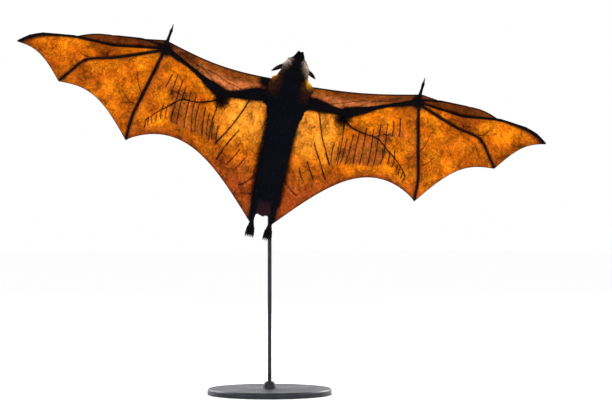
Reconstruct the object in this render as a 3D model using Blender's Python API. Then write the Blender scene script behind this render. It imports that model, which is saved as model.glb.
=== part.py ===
"""Flying fox in full flight, belly to the front, held by a rod on a turned steel base.

A still, life-size museum model. Named sizes are in millimetres. The animal is modelled in a
frame of its own: +X is its left, +Y its back and +Z the way to its head. One empty leans and
banks that frame over the stand, whose base stands on the world's origin.
"""

import math

import bmesh
import bpy
from mathutils import Matrix, Vector

MM = 0.001
TAU = 2 * math.pi

# Clearance between neighbouring pieces.
GAP = 0.3

# How the animal hangs over the stand.
LEAN_DEG = 12.4
BANK_DEG = 10.0
CENTRE = Vector((22.3, -18.0, 528.4))

# Stand.
BASE_RADIUS = 125.0
BASE_HEIGHT = 12.0
BASE_CHAMFER = 2.5
BOSS_RADIUS = 13.0
BOSS_HEIGHT = 26.0
BORE_DEPTH = 20.0
ROD_RADIUS = 4.0
ROD_TOP = 436.0

# Wing bones: length, lift toward the back in degrees, then the heading in degrees from straight
# outward, positive toward the head, on the right wing and on the left wing.
BONES = {
    "humerus": (102.5, 23.5, -12.5, -2.0),
    "forearm": (153.5, -14.0, 24.0, 20.5),
    "thumb_root": (15.5, -0.5, 88.5, 88.5),
    "thumb": (25.5, -11.0, 97.0, 88.0),
    "thumb_claw": (11.5, -5.0, 93.5, 92.0),
    "hand_2": (51.5, 15.5, 12.0, 16.0),
    "finger_2": (63.5, -13.0, -7.5, 0.5),
    "hand_3": (106.0, 13.0, -8.5, -3.5),
    "finger_3a": (79.5, 2.5, 0.5, 8.0),
    "finger_3b": (63.0, 14.5, -7.2, -3.7),
    "finger_3c": (26.0, -6.5, -22.0, -17.0),
    "tip_3": (27.5, -6.5, -38.0, -35.0),
    "hand_4": (105.5, 18.0, -22.5, -18.0),
    "finger_4a": (59.0, 3.0, -14.5, -10.0),
    "finger_4b": (68.5, 6.0, -53.0, -52.0),
    "hand_5": (108.0, -14.5, -74.0, -80.5),
    "finger_5a": (50.0, -7.5, -75.5, -78.0),
    "finger_5b": (45.5, -2.0, -88.5, -89.5),
}
SHOULDER = Vector((31.0, 7.0, 68.5))
SIDES = {"right": -1, "left": 1}
HEADING_COLUMN = {"right": 2, "left": 3}

# Each digit's chain of bones, and how far its base sits from the middle of the wrist.
DIGITS = {
    2: (("hand_2", "finger_2"), 5.2),
    3: (("hand_3", "finger_3a", "finger_3b", "finger_3c", "tip_3"), 1.4),
    4: (("hand_4", "finger_4a", "finger_4b"), -2.6),
    5: (("hand_5", "finger_5a", "finger_5b"), -6.6),
}
DIGIT_SIDES = 6
ARM_SIDES = 10

# How far from a joint a limb starts to bend round it.
BEND_REACH = 16.0

# The web before the hand, from its place on the thumb's bones to its places on the second digit's.
WEB_ON_THUMB = 1.05
WEB_ON_DIGIT = (0.96, 0.4)

# Membranes: thickness, and how far each one's free edge curves in from a straight line.
SKIN_THICKNESS = 1.0
LEADING_SAG = {"right": 11.0, "left": 6.0}
EDGE_BOW = {(2, 3): 4.0, (3, 4): 16.5, (4, 5): 29.0}
FLANK_BOW = {"right": 65.5, "left": 69.0}
FLANK_SKEW = 0.87
FINGER_BILLOW = 7.0
ARM_BILLOW = 16.0
FRONT_BILLOW = 5.0

# Trunk and neck, from rump to nape: height, half width, depth to the back, depth to the belly.
# The turned neck also leans to the left.
BODY_SIDES = 16
TRUNK = (
    (-152.0, 13.0, 9.0, 8.0),
    (-144.0, 19.0, 14.0, 12.0),
    (-128.0, 26.5, 20.0, 17.5),
    (-104.0, 28.8, 24.0, 22.0),
    (-72.0, 29.0, 27.0, 26.0),
    (-36.0, 30.3, 30.0, 29.5),
    (-4.0, 31.8, 32.0, 32.0),
    (22.0, 35.5, 34.0, 35.0),
    (44.0, 41.0, 35.5, 37.5),
    (62.0, 43.5, 35.5, 37.5),
    (76.0, 42.5, 34.0, 34.5),
    (87.0, 41.0, 31.5, 31.0),
)
NECK = (
    (87.0, 41.0, 31.5, 31.0),
    (94.5, 43.0, 30.0, 28.5, 2.0),
)

# Head, along its own axis from the nape joint: distance, half width, depth up, depth down.
HEAD_JOINT = Vector((1.0, 1.5, 98.0))
HEAD_PITCH_DEG = 15.0
HEAD_YAW_DEG = 2.0
HEAD_ROLL_DEG = -7.0
HEAD = (
    (10.0, 35.0, 26.5, 25.0),
    (18.0, 32.5, 25.5, 22.0),
    (26.0, 31.5, 23.0, 18.8),
    (33.0, 29.5, 19.5, 16.0),
    (38.0, 27.0, 16.5, 14.2),
    (43.0, 23.2, 13.2, 12.6),
    (48.0, 17.5, 10.6, 11.2),
    (53.0, 13.0, 8.8, 10.2),
    (58.0, 10.0, 7.8, 9.0),
    (62.5, 8.6, 6.8, 7.2),
    (65.5, 7.0, 4.8, 5.0),
    (66.8, 4.4, 2.8, 3.0),
)
NOSTRIL_RADIUS = 2.7
NOSTRIL_PLACE = (3.9, 1.0, 65.6)
EYE_RADIUS = 6.0
EYE_PLACE = (12.0, 3.4, 45.5)
BROW_NARROWING = 0.25

# Ears, in the head's directions: root, tip and the way the broad side runs, for the left one.
EAR_ROOT = Vector((19.5, 14.0, 30.0))
EAR_TIPS = {"right": Vector((45.0, 27.0, 7.0)), "left": Vector((44.5, 27.0, 16.0))}
EAR_ACROSS = Vector((0.2, 0.92, 0.33))
EAR_HALF_WIDTH = 7.0
EAR_CUP = 0.75
EAR_THICKNESS = 1.4

# Legs, for the left one.
HIP = Vector((15.0, 2.0, -100.0))
KNEE = Vector((19.0, -1.0, -141.0))
ANKLE = Vector((18.6, -1.0, -184.0))
TOES = Vector((18.3, -3.0, -203.5))
TOE_COUNT = 5
TOE_SPREAD = 15.0
TOE_LENGTH = 12.0
CLAW_LENGTH = 10.5
LEG_SWAY = 0.6
HEEL = {"right": Vector((-4.0, 0, -6.5)), "left": Vector((3.5, 0, -2.5))}

# Web between the legs.
WEB_TOP = -130.0
WEB_HALF_WIDTH = 18.5
WEB_THICKNESS = 3.0
TAIL_POINT = Vector((0.0, -1.0, -173.5))


# --- Small geometry helpers ---------------------------------------------------------------

def mirrored(point, side):
    """The left side's point, moved to the side asked for."""
    return Vector((point.x * side, point.y, point.z))


def direction(heading_deg, lift_deg, side):
    """Unit vector of a wing bone."""
    heading = math.radians(heading_deg)
    lift = math.radians(lift_deg)
    outward = side * math.cos(lift) * math.cos(heading)
    return Vector((outward, math.sin(lift), math.cos(lift) * math.sin(heading)))


def walk(points, fraction):
    """Point at a fraction of a broken line's whole length."""
    lengths = [(b - a).length for a, b in zip(points, points[1:])]
    left = fraction * sum(lengths)
    for start, end, length in zip(points, points[1:], lengths):
        if left <= length:
            return start.lerp(end, left / length)
        left -= length
    return points[-1].copy()


def along(joints, position):
    """Point on a chain of bones: 1.5 is the middle of its second bone."""
    bone = min(int(position), len(joints) - 2)
    return joints[bone].lerp(joints[bone + 1], position - bone)


def eased_along(joints, position):
    """Point on a chain of bones that bends round its joints in short curves."""
    number = round(position)
    if not 0 < number < len(joints) - 1:
        return along(joints, position)
    before, joint, after = joints[number - 1:number + 2]
    lengths = ((joint - before).length, (after - joint).length)
    reach = min(BEND_REACH, 0.45 * lengths[0], 0.45 * lengths[1])
    gone = (position - number) * lengths[position > number]
    if abs(gone) >= reach:
        return along(joints, position)
    t = 0.5 + gone / (2 * reach)
    start = joint.lerp(before, reach / lengths[0])
    end = joint.lerp(after, reach / lengths[1])
    return start.lerp(joint, t).lerp(joint.lerp(end, t), t)


def eased_line(joints, last=None, steps=8):
    """The whole chain, or its part up to a place, as a line of points."""
    last = len(joints) - 1 if last is None else last
    count = math.ceil(last * steps)
    return [eased_along(joints, last * step / count) for step in range(count + 1)]


def free_edge(start, end, bow, skew=1.0, steps=16):
    """Edge of a membrane, bowed toward the head. A skew under 1 moves its deepest place to the end."""
    points = []
    for step in range(steps + 1):
        u = step / steps
        depth = math.sin(math.pi * (1 - u) ** skew)
        lift = Vector((0, 3.0 * math.sin(math.pi * u), bow * depth))
        points.append(start.lerp(end, u) + lift)
    return points


# --- Meshes and objects -------------------------------------------------------------------

def loft(mesh, rings):
    """Join rings of points into one closed skin with flat ends."""
    rows = [[mesh.verts.new(point * MM) for point in ring] for ring in rings]
    count = len(rows[0])
    for lower, upper in zip(rows, rows[1:]):
        for i in range(count):
            j = (i + 1) % count
            mesh.faces.new((lower[i], lower[j], upper[j], upper[i]))
    mesh.faces.new(rows[0])
    mesh.faces.new(rows[-1])


def section(centre, across, up, half_width, depth_up, depth_down, narrowing=0.0):
    """Oval section whose depth differs toward the back and toward the belly.

    The narrowing draws its upper sides in.
    """
    ring = []
    for step in range(BODY_SIDES):
        angle = TAU * step / BODY_SIDES
        rise = math.sin(angle)
        depth = depth_up if rise > 0 else depth_down
        width = half_width * (1 - narrowing * max(rise, 0.0))
        ring.append(centre + across * width * math.cos(angle) + up * depth * rise)
    return ring


def tube_rings(points, radii, sides):
    """Round rings along a line of points, turned as little as possible from one to the next."""
    rings = []
    normal = None
    for index, (point, radius) in enumerate(zip(points, radii)):
        before = points[max(index - 1, 0)]
        after = points[min(index + 1, len(points) - 1)]
        tangent = (after - before).normalized()
        if normal is None:
            normal = tangent.orthogonal()
        normal = (normal - tangent * normal.dot(tangent)).normalized()
        binormal = tangent.cross(normal)
        ring = []
        for step in range(sides):
            angle = TAU * step / sides
            ring.append(point + (normal * math.cos(angle) + binormal * math.sin(angle)) * radius)
        rings.append(ring)
    return rings


def material(name, color, roughness, metallic=0.0):
    """Plain Principled material, made once for each name."""
    found = bpy.data.materials.get(name)
    if found:
        return found
    made = bpy.data.materials.new(name)
    made.use_nodes = True
    shader = made.node_tree.nodes["Principled BSDF"]
    shader.inputs["Base Color"].default_value = (*color, 1.0)
    shader.inputs["Roughness"].default_value = roughness
    shader.inputs["Metallic"].default_value = metallic
    made.diffuse_color = (*color, 1.0)
    return made


def new_piece(name, mesh, finish, parent, smooth_deg=50.0):
    """Turn a bmesh into a named object with outward faces."""
    bmesh.ops.recalc_face_normals(mesh, faces=mesh.faces)
    data = bpy.data.meshes.new(name)
    mesh.to_mesh(data)
    mesh.free()
    data.shade_smooth()
    data.set_sharp_from_angle(angle=math.radians(smooth_deg))
    data.materials.append(finish)
    piece = bpy.data.objects.new(name, data)
    bpy.context.scene.collection.objects.link(piece)
    piece.parent = parent
    return piece


def tube(name, points, radii, sides, finish, parent):
    """One limb: a round loft through the points."""
    mesh = bmesh.new()
    loft(mesh, tube_rings(points, radii, sides))
    return new_piece(name, mesh, finish, parent)


def hide(piece):
    """Keep a cutter out of the model."""
    piece.hide_render = True
    piece.display_type = "WIRE"
    return piece


def grown_copy(piece, amount=GAP):
    """Hidden copy of a piece, larger all round by the clearance."""
    mesh = bmesh.new()
    mesh.from_mesh(piece.data)
    mesh.normal_update()
    shifts = [(vert, vert.normal * vert.calc_shell_factor() * amount * MM) for vert in mesh.verts]
    for vert, shift in shifts:
        vert.co += shift
    cutter = new_piece("cutter_" + piece.name, mesh, piece.data.materials[0], piece.parent)
    return hide(cutter)


def combine(piece, tool, operation):
    """Cut a piece by a hidden solid, or join the solid to it.

    EXACT loses thin slabs that almost touch a limb's side, so every joint uses MANIFOLD.
    """
    modifier = piece.modifiers.new(tool.name, "BOOLEAN")
    modifier.operation = operation
    modifier.solver = "MANIFOLD"
    modifier.object = tool


def settle(piece):
    """Fix a piece's modifiers into its mesh and drop crumbs cut off from the main body."""
    bpy.context.view_layer.update()
    evaluated = piece.evaluated_get(bpy.context.evaluated_depsgraph_get())
    mesh = bmesh.new()
    mesh.from_mesh(evaluated.to_mesh())
    evaluated.to_mesh_clear()
    bmesh.ops.remove_doubles(mesh, verts=mesh.verts, dist=1e-6)
    waiting = set(mesh.verts)
    bodies = []
    while waiting:
        body = {waiting.pop()}
        edge_of_body = list(body)
        while edge_of_body:
            vert = edge_of_body.pop()
            for edge in vert.link_edges:
                other = edge.other_vert(vert)
                if other not in body:
                    body.add(other)
                    edge_of_body.append(other)
        waiting -= body
        bodies.append(body)
    largest = max(bodies, key=len)
    crumbs = [vert for vert in mesh.verts if vert not in largest]
    bmesh.ops.delete(mesh, geom=crumbs, context="VERTS")
    piece.modifiers.clear()
    mesh.to_mesh(piece.data)
    mesh.free()


# --- Body ---------------------------------------------------------------------------------

def body_section(height, half_width, depth_up, depth_down, lean=0.0):
    centre = Vector((lean, 0, height))
    return section(centre, Vector((1, 0, 0)), Vector((0, 1, 0)), half_width, depth_up, depth_down)


def head_axes():
    """The head's own directions: to its left, up from its crown, and along to the nose."""
    turn = Matrix.Rotation(math.radians(HEAD_YAW_DEG), 3, "Y")
    turn = turn @ Matrix.Rotation(math.radians(HEAD_PITCH_DEG), 3, "X")
    turn = turn @ Matrix.Rotation(math.radians(HEAD_ROLL_DEG), 3, "Z")
    return turn @ Vector((1, 0, 0)), turn @ Vector((0, 1, 0)), turn @ Vector((0, 0, 1))


def head_point(place):
    """A place given as left, up and forward of the nape joint, in the body's frame."""
    across, up, forward = head_axes()
    return HEAD_JOINT + across * place[0] + up * place[1] + forward * place[2]


def head_section(distance, half_width, depth_up, depth_down):
    across, up, _forward = head_axes()
    centre = head_point((0, 0, distance))
    return section(centre, across, up, half_width, depth_up, depth_down, BROW_NARROWING)


def build_body(fur, parent):
    """Trunk, neck and head: one long form, parted by thin flat cuts."""
    mesh = bmesh.new()
    loft(mesh, [body_section(*station) for station in TRUNK])
    trunk = new_piece("trunk", mesh, fur, parent)

    lift = Vector((0, 0, GAP))
    mesh = bmesh.new()
    rings = [body_section(*station) for station in NECK]
    rings[0] = [point + lift for point in rings[0]]
    _across, _up, forward = head_axes()
    rings.append([point - forward * GAP for point in head_section(*HEAD[0])])
    loft(mesh, rings)
    neck = new_piece("neck", mesh, fur, parent)

    mesh = bmesh.new()
    loft(mesh, [head_section(*station) for station in HEAD])
    head = new_piece("head", mesh, fur, parent)
    return trunk, neck, head


def ball(name, centre, radius, finish, parent, segments=10, rings=7):
    mesh = bmesh.new()
    place = Matrix.Translation(centre * MM)
    bmesh.ops.create_uvsphere(mesh, u_segments=segments, v_segments=rings, radius=radius * MM, matrix=place)
    return new_piece(name, mesh, finish, parent)


def build_face(head, skin, eye_finish, parent):
    """Nostrils joined to the snout, eyes seated in sockets, and ears beside the crown."""
    for name, side in SIDES.items():
        across, up, forward = NOSTRIL_PLACE
        nostril = ball("nostril_" + name, head_point((across * side, up, forward)), NOSTRIL_RADIUS,
                       skin, parent, 8, 6)
        combine(head, hide(nostril), "UNION")
        across, up, forward = EYE_PLACE
        centre = head_point((across * side, up, forward))
        eye = ball("eye_" + name, centre, EYE_RADIUS, eye_finish, parent)
        combine(head, grown_copy(eye), "DIFFERENCE")
    head_cutter = grown_copy(head)
    for name, side in SIDES.items():
        ear = build_ear(name, side, skin, parent)
        combine(ear, head_cutter, "DIFFERENCE")
        settle(ear)


def build_ear(side_name, side, skin, parent):
    """Pointed, cupped blade, open to the front."""
    root = head_point(mirrored(EAR_ROOT, side))
    length = head_point(mirrored(EAR_TIPS[side_name], side)) - root
    across = (head_point(mirrored(EAR_ACROSS, side)) - HEAD_JOINT).normalized()
    hollow = length.normalized().cross(across) * side
    rows = 5
    columns = 4
    grid = []
    for row in range(rows + 1):
        s = row / rows
        half_width = EAR_HALF_WIDTH * (1 - s ** 2.4) ** 0.8 * (0.75 + 0.25 * math.sin(math.pi * s))
        half_width = max(half_width, 1.5)
        line = []
        for column in range(columns + 1):
            c = 2 * column / columns - 1
            cup = hollow * (EAR_CUP * half_width * (c * c - 0.4))
            line.append(root + length * s + across * (half_width * c) + cup)
        grid.append(line)
    return sheet("ear_" + side_name, grid, EAR_THICKNESS, skin, parent)


# --- Limbs --------------------------------------------------------------------------------

def chain(start, names, side_name):
    """Joints of a chain of wing bones."""
    side = SIDES[side_name]
    joints = [start]
    for bone in names:
        length, lift = BONES[bone][:2]
        heading = BONES[bone][HEADING_COLUMN[side_name]]
        joints.append(joints[-1] + direction(heading, lift, side) * length)
    return joints


def profile_tube(name, joints, profile, sides, finish, parent):
    """Limb along a chain of bones. The profile pairs a place on the chain with a radius."""
    points = [eased_along(joints, position) for position, _radius in profile]
    radii = [radius for _position, radius in profile]
    return tube(name, points, radii, sides, finish, parent)


def build_arm(side_name, parts, fur, parent):
    """Upper arm and forearm, furred as far as the middle of the forearm."""
    side = SIDES[side_name]
    shoulder, elbow = chain(mirrored(SHOULDER, side), ("humerus",), side_name)
    wrist = chain(elbow, ("forearm",), side_name)[-1]
    inner = shoulder + (shoulder - elbow).normalized() * 8.0
    upper_profile = (
        (0.0, 14.0), (0.3, 14.5), (0.45, 12.6), (0.6, 10.2), (0.78, 8.0), (0.92, 8.2),
        (1.05, 10.0), (1.1, 7.0),
    )
    upper_arm = profile_tube("upper_arm_" + side_name, [inner, elbow], upper_profile, ARM_SIDES, fur, parent)
    combine(upper_arm, parts["trunk_cutter"], "DIFFERENCE")
    combine(upper_arm, parts["neck_cutter"], "DIFFERENCE")
    settle(upper_arm)

    fore_stations = (
        (-0.05, 8.5, 0.0), (0.03, 11.8, 0.0), (0.15, 10.8, -0.8), (0.28, 8.6, -0.8),
        (0.41, 5.6, 0.6), (0.55, 4.0, 2.0), (0.7, 3.8, 2.6), (0.84, 4.6, 2.4),
        (0.93, 6.0, 1.4), (0.985, 7.6, 0.4), (1.03, 7.6, 0.0), (1.06, 5.2, 0.0),
    )
    headward = Vector((0, -1, 0)).cross((wrist - elbow).normalized()) * side
    points = [along([elbow, wrist], place) + headward * bow for place, _radius, bow in fore_stations]
    radii = [radius for _place, radius, _bow in fore_stations]
    forearm = tube("forearm_" + side_name, points, radii, ARM_SIDES, fur, parent)
    parts["upper_arm"] = grown_copy(upper_arm)
    parts["forearm"] = grown_copy(forearm)
    combine(forearm, parts["upper_arm"], "DIFFERENCE")
    settle(forearm)
    return [shoulder, elbow, wrist]


def build_thumb(side_name, wrist, parts, skin, claw, parent):
    """Free thumb with its hooked claw."""
    joints = chain(wrist, ("thumb_root", "thumb", "thumb_claw"), side_name)
    profile = ((0.0, 3.0), (1.0, 3.2), (1.15, 3.4), (1.5, 2.6), (1.88, 2.9), (2.0, 2.2))
    thumb = profile_tube("thumb_" + side_name, joints, profile, 8, skin, parent)
    parts["thumb"] = grown_copy(thumb)
    combine(thumb, parts["forearm"], "DIFFERENCE")
    settle(thumb)

    root, tip = joints[2:]
    hook = Vector((0, -1, 0))
    points = []
    for step in range(5):
        u = step / 4
        points.append(root.lerp(tip, u) + hook * (4.5 * u * u) + (root - tip).normalized() * 1.5 * (1 - u))
    nail = tube("thumb_claw_" + side_name, points, (2.6, 2.4, 1.9, 1.2, 0.4), 6, claw, parent)
    combine(nail, parts["thumb"], "DIFFERENCE")
    settle(nail)
    return joints


def digit_profile(number, bones):
    """Slender bones with slightly swollen joints. The second digit ends in a small hook, and the
    third in a broad, blunt wing tip."""
    slender = 0.75 if number == 2 else 1.0
    profile = [(0.0, 2.2), (0.12, 2.3 * slender), (0.3, 2.7 * slender), (0.55, 2.5 * slender)]
    for joint in range(1, bones):
        profile += [(joint - 0.12, 2.5 * slender), (joint, 2.9 * slender), (joint + 0.12, 2.4 * slender),
                    (joint + 0.5, 2.1 * slender)]
    if number == 2:
        profile += [(bones - 0.1, 1.9), (bones - 0.04, 1.7), (bones, 0.6)]
    elif number == 3:
        profile += [(bones - 0.25, 2.6), (bones - 0.06, 2.4), (bones, 1.2)]
    else:
        profile += [(bones - 0.15, 1.8), (bones, 1.2)]
    return profile


def build_digits(side_name, arm, parts, skin, parent):
    """The four fingers that spread the wing."""
    _shoulder, elbow, wrist = arm
    along_arm = (wrist - elbow).normalized()
    across = Vector((0, -1, 0)).cross(along_arm).normalized() * SIDES[side_name]
    digits = {}
    for number, (bones, offset) in DIGITS.items():
        joints = chain(wrist, bones, side_name)
        joints[0] = wrist + across * offset
        profile = digit_profile(number, len(bones))
        digit = profile_tube(f"digit_{number}_{side_name}", joints, profile, DIGIT_SIDES, skin, parent)
        parts[number] = grown_copy(digit)
        combine(digit, parts["forearm"], "DIFFERENCE")
        settle(digit)
        digits[number] = joints
    return digits


def build_leg(side_name, parts, fur, skin, parent):
    """Thigh, shin and a foot with five clawed toes."""
    side = SIDES[side_name]
    hip, knee, ankle, toes = (mirrored(point, side) for point in (HIP, KNEE, ANKLE, TOES))
    knee.x += LEG_SWAY / 2
    ankle.x += LEG_SWAY
    toes.x += LEG_SWAY
    thigh_profile = ((0.0, 10.0), (0.5, 10.0), (0.85, 8.8), (1.0, 8.2), (1.1, 5.5))
    thigh = profile_tube("thigh_" + side_name, [hip, knee], thigh_profile, ARM_SIDES, fur, parent)
    parts["thigh"] = grown_copy(thigh)
    combine(thigh, parts["trunk_cutter"], "DIFFERENCE")
    settle(thigh)

    shin_profile = ((-0.08, 6.0), (0.05, 8.0), (0.3, 7.4), (0.6, 6.0), (0.85, 4.6), (1.0, 4.3))
    shin = profile_tube("shin_" + side_name, [knee, ankle], shin_profile, ARM_SIDES, fur, parent)
    parts["shin"] = grown_copy(shin)
    combine(shin, parts["thigh"], "DIFFERENCE")
    combine(shin, parts["trunk_cutter"], "DIFFERENCE")
    settle(shin)

    sole_points = [along([ankle, toes], u) for u in (0.02, 0.3, 0.65, 0.95, 1.1)]
    mesh = bmesh.new()
    rings = tube_rings(sole_points, (4.0, 4.4, 5.2, 5.4, 4.0), 8)
    for ring, spread in zip(rings, (1.0, 1.0, 1.25, 1.4, 1.4)):
        middle = sum(ring, Vector()) / len(ring)
        for point in ring:
            point.x = middle.x + (point.x - middle.x) * spread
            point.y = middle.y + (point.y - middle.y) / (0.6 + 0.4 * spread * spread)
    loft(mesh, rings)
    foot = new_piece("foot_" + side_name, mesh, skin, parent)
    parts["foot"] = grown_copy(foot)
    for toe in range(TOE_COUNT):
        offset = toe / (TOE_COUNT - 1) - 0.5
        start = toes + Vector((offset * TOE_SPREAD * 0.75, 0, 4.0))
        knuckle = start + Vector((offset * 3.0, -1.0, -TOE_LENGTH))
        joints = [start, knuckle, knuckle + Vector((offset * 1.5, -3.5, -CLAW_LENGTH + 1.0))]
        profile = ((0.0, 1.7), (1.0, 1.8), (1.3, 1.2), (2.0, 0.4))
        digit = profile_tube(f"toe_{toe}_{side_name}", joints, profile, 5, skin, parent)
        combine(foot, hide(digit), "UNION")
    combine(foot, parts["shin"], "DIFFERENCE")
    settle(foot)
    heel = ankle + HEEL[side_name]
    return [hip, knee, heel]


# --- Membranes ----------------------------------------------------------------------------

def sheet(name, grid, thickness, finish, parent):
    """Closed slab of even thickness from a grid of points."""
    mesh = bmesh.new()
    rows = [[mesh.verts.new(point * MM) for point in line] for line in grid]
    for lower, upper in zip(rows, rows[1:]):
        for i in range(len(lower) - 1):
            mesh.faces.new((lower[i], lower[i + 1], upper[i + 1], upper[i]))
    piece = new_piece(name, mesh, finish, parent)
    solid = piece.modifiers.new("thickness", "SOLIDIFY")
    solid.thickness = thickness * MM
    solid.offset = 0.0
    solid.use_even_offset = True
    return piece


def patch(near, far, start, end, columns, rows, billow):
    """Coons patch between four edges, billowed toward the back.

    near and far run side by side; start joins their first ends and end their last ones.
    """
    grid = []
    corner_a, corner_b = near[0], near[-1]
    corner_c, corner_d = far[0], far[-1]
    for row in range(rows + 1):
        v = row / rows
        line = []
        for column in range(columns + 1):
            u = column / columns
            ruled = walk(near, u).lerp(walk(far, u), v) + walk(start, v).lerp(walk(end, v), u)
            bilinear = corner_a.lerp(corner_b, u).lerp(corner_c.lerp(corner_d, u), v)
            swell = billow * math.sin(math.pi * u) * math.sin(math.pi * v)
            line.append(ruled - bilinear + Vector((0, swell, 0)))
        grid.append(line)
    return grid


def membrane(name, grid, cutters, finish, parent):
    """Thin skin between bones, trimmed clear of each of them."""
    piece = sheet(name, grid, SKIN_THICKNESS, finish, parent)
    for cutter in cutters:
        combine(piece, cutter, "DIFFERENCE")
    settle(piece)
    return piece


def build_membranes(side_name, arm, thumb, digits, leg, parts, skin, parent):
    side = SIDES[side_name]
    shoulder, elbow, wrist = arm
    _hip, knee, heel = leg
    fingers = {number: eased_line(joints) for number, joints in digits.items()}

    # In front of the arm, from the neck to the thumb.
    nape = mirrored(Vector((30.0, 6.0, 98.0)), side)
    armpit_front = mirrored(Vector((30.0, 6.0, 70.0)), side)
    thumb_end = thumb[1]
    leading = free_edge(nape, thumb_end, -LEADING_SAG[side_name])
    grid = patch(leading, [armpit_front, elbow, wrist], [nape, armpit_front], [thumb_end, wrist],
                 10, 3, FRONT_BILLOW)
    cutters = [parts[key] for key in ("trunk_cutter", "neck_cutter", "upper_arm", "forearm", "thumb")]
    membrane("propatagium_" + side_name, grid, cutters, skin, parent)

    # Small web between the thumb and the second digit.
    thumb_part = along(thumb, WEB_ON_THUMB)
    web_end, web_turn = [eased_along(digits[2], place) for place in WEB_ON_DIGIT]
    grid = patch([thumb_part, web_end], [wrist, digits[2][0], web_turn], [thumb_part, wrist],
                 [web_end, web_turn], 6, 3, 1.0)
    membrane("thumb_web_" + side_name, grid, [parts[key] for key in ("forearm", "thumb", 2)], skin, parent)

    # Between the fingers.
    for (first, second), bow in EDGE_BOW.items():
        ahead = fingers[first]
        behind = eased_line(digits[3], 1.95) if first == 2 else fingers[second]
        rim = free_edge(ahead[-1], behind[-1], bow)
        rows = 2 if first == 2 else 5
        grid = patch(ahead, behind, [ahead[0], behind[0]], rim, 7, rows, FINGER_BILLOW)
        cutters = [parts[key] for key in ("forearm", first, second)]
        membrane(f"membrane_{first}_{second}_{side_name}", grid, cutters, skin, parent)

    # Behind the arm, from the flank and leg to the fifth digit.
    fifth = fingers[5]
    armpit = mirrored(Vector((22.0, 8.0, 66.0)), side)
    waist = mirrored(Vector((20.0, 8.0, -60.0)), side)
    hip_side = mirrored(Vector((19.0, 4.0, -120.0)), side)
    flank = [armpit, waist, hip_side, knee, heel]
    rim = free_edge(heel, fifth[-1], FLANK_BOW[side_name], FLANK_SKEW)
    grid = patch([armpit, shoulder, elbow, wrist, fifth[0]], rim, flank, fifth, 12, 6, ARM_BILLOW)
    names = ("trunk_cutter", "upper_arm", "forearm", 5, "thigh", "shin", "foot")
    membrane("plagiopatagium_" + side_name, grid, [parts[key] for key in names], skin, parent)


def tail_web_point(across, down):
    """Point of the tail web: across runs from -1 at the right leg to 1 at the left, down from 0 to 1."""
    reach = abs(across)
    rear = TAIL_POINT.z + 6.0 * reach if reach < 0.4 else -170.5 + 5.0 * reach
    return Vector((WEB_HALF_WIDTH * across, TAIL_POINT.y, WEB_TOP + (rear - WEB_TOP) * down))


def build_tail_membrane(cutters, fur, parent):
    """Furred web between the legs, with the short point where other bats have a tail."""
    rows = 4
    columns = 6
    grid = []
    for row in range(rows + 1):
        grid.append([tail_web_point(2 * column / columns - 1, row / rows) for column in range(columns + 1)])
    web = sheet("tail_membrane", grid, WEB_THICKNESS, fur, parent)
    for cutter in cutters:
        combine(web, cutter, "DIFFERENCE")
    settle(web)


# --- Stand --------------------------------------------------------------------------------

def build_stand(steel):
    """Turned base with a bored boss, and the rod that carries the animal."""
    outline = [
        (0.0, 0.0), (BASE_RADIUS, 0.0), (BASE_RADIUS, BASE_HEIGHT - BASE_CHAMFER),
        (BASE_RADIUS - BASE_CHAMFER, BASE_HEIGHT),
        (BOSS_RADIUS, BASE_HEIGHT), (BOSS_RADIUS - 3.0, BOSS_HEIGHT - 2.0), (BOSS_RADIUS - 5.0, BOSS_HEIGHT),
        (ROD_RADIUS + GAP, BOSS_HEIGHT), (ROD_RADIUS + GAP, BOSS_HEIGHT - BORE_DEPTH),
        (0.0, BOSS_HEIGHT - BORE_DEPTH),
    ]
    mesh = bmesh.new()
    verts = [mesh.verts.new(Vector((radius, 0, height)) * MM) for radius, height in outline]
    edges = [mesh.edges.new(pair) for pair in zip(verts, verts[1:])]
    bmesh.ops.spin(mesh, geom=verts + edges, cent=(0, 0, 0), axis=(0, 0, 1), angle=TAU, steps=32,
                   use_merge=True)
    bmesh.ops.remove_doubles(mesh, verts=mesh.verts, dist=1e-6)
    new_piece("stand_base", mesh, steel, None, 30.0)

    floor = BOSS_HEIGHT - BORE_DEPTH + GAP
    heights = (floor, ROD_TOP - 2.0, ROD_TOP)
    rod = tube("stand_rod", [Vector((0, 0, height)) for height in heights],
               (ROD_RADIUS, ROD_RADIUS, ROD_RADIUS - 1.2), 16, steel, None)
    return rod


# --- Whole model --------------------------------------------------------------------------

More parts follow.
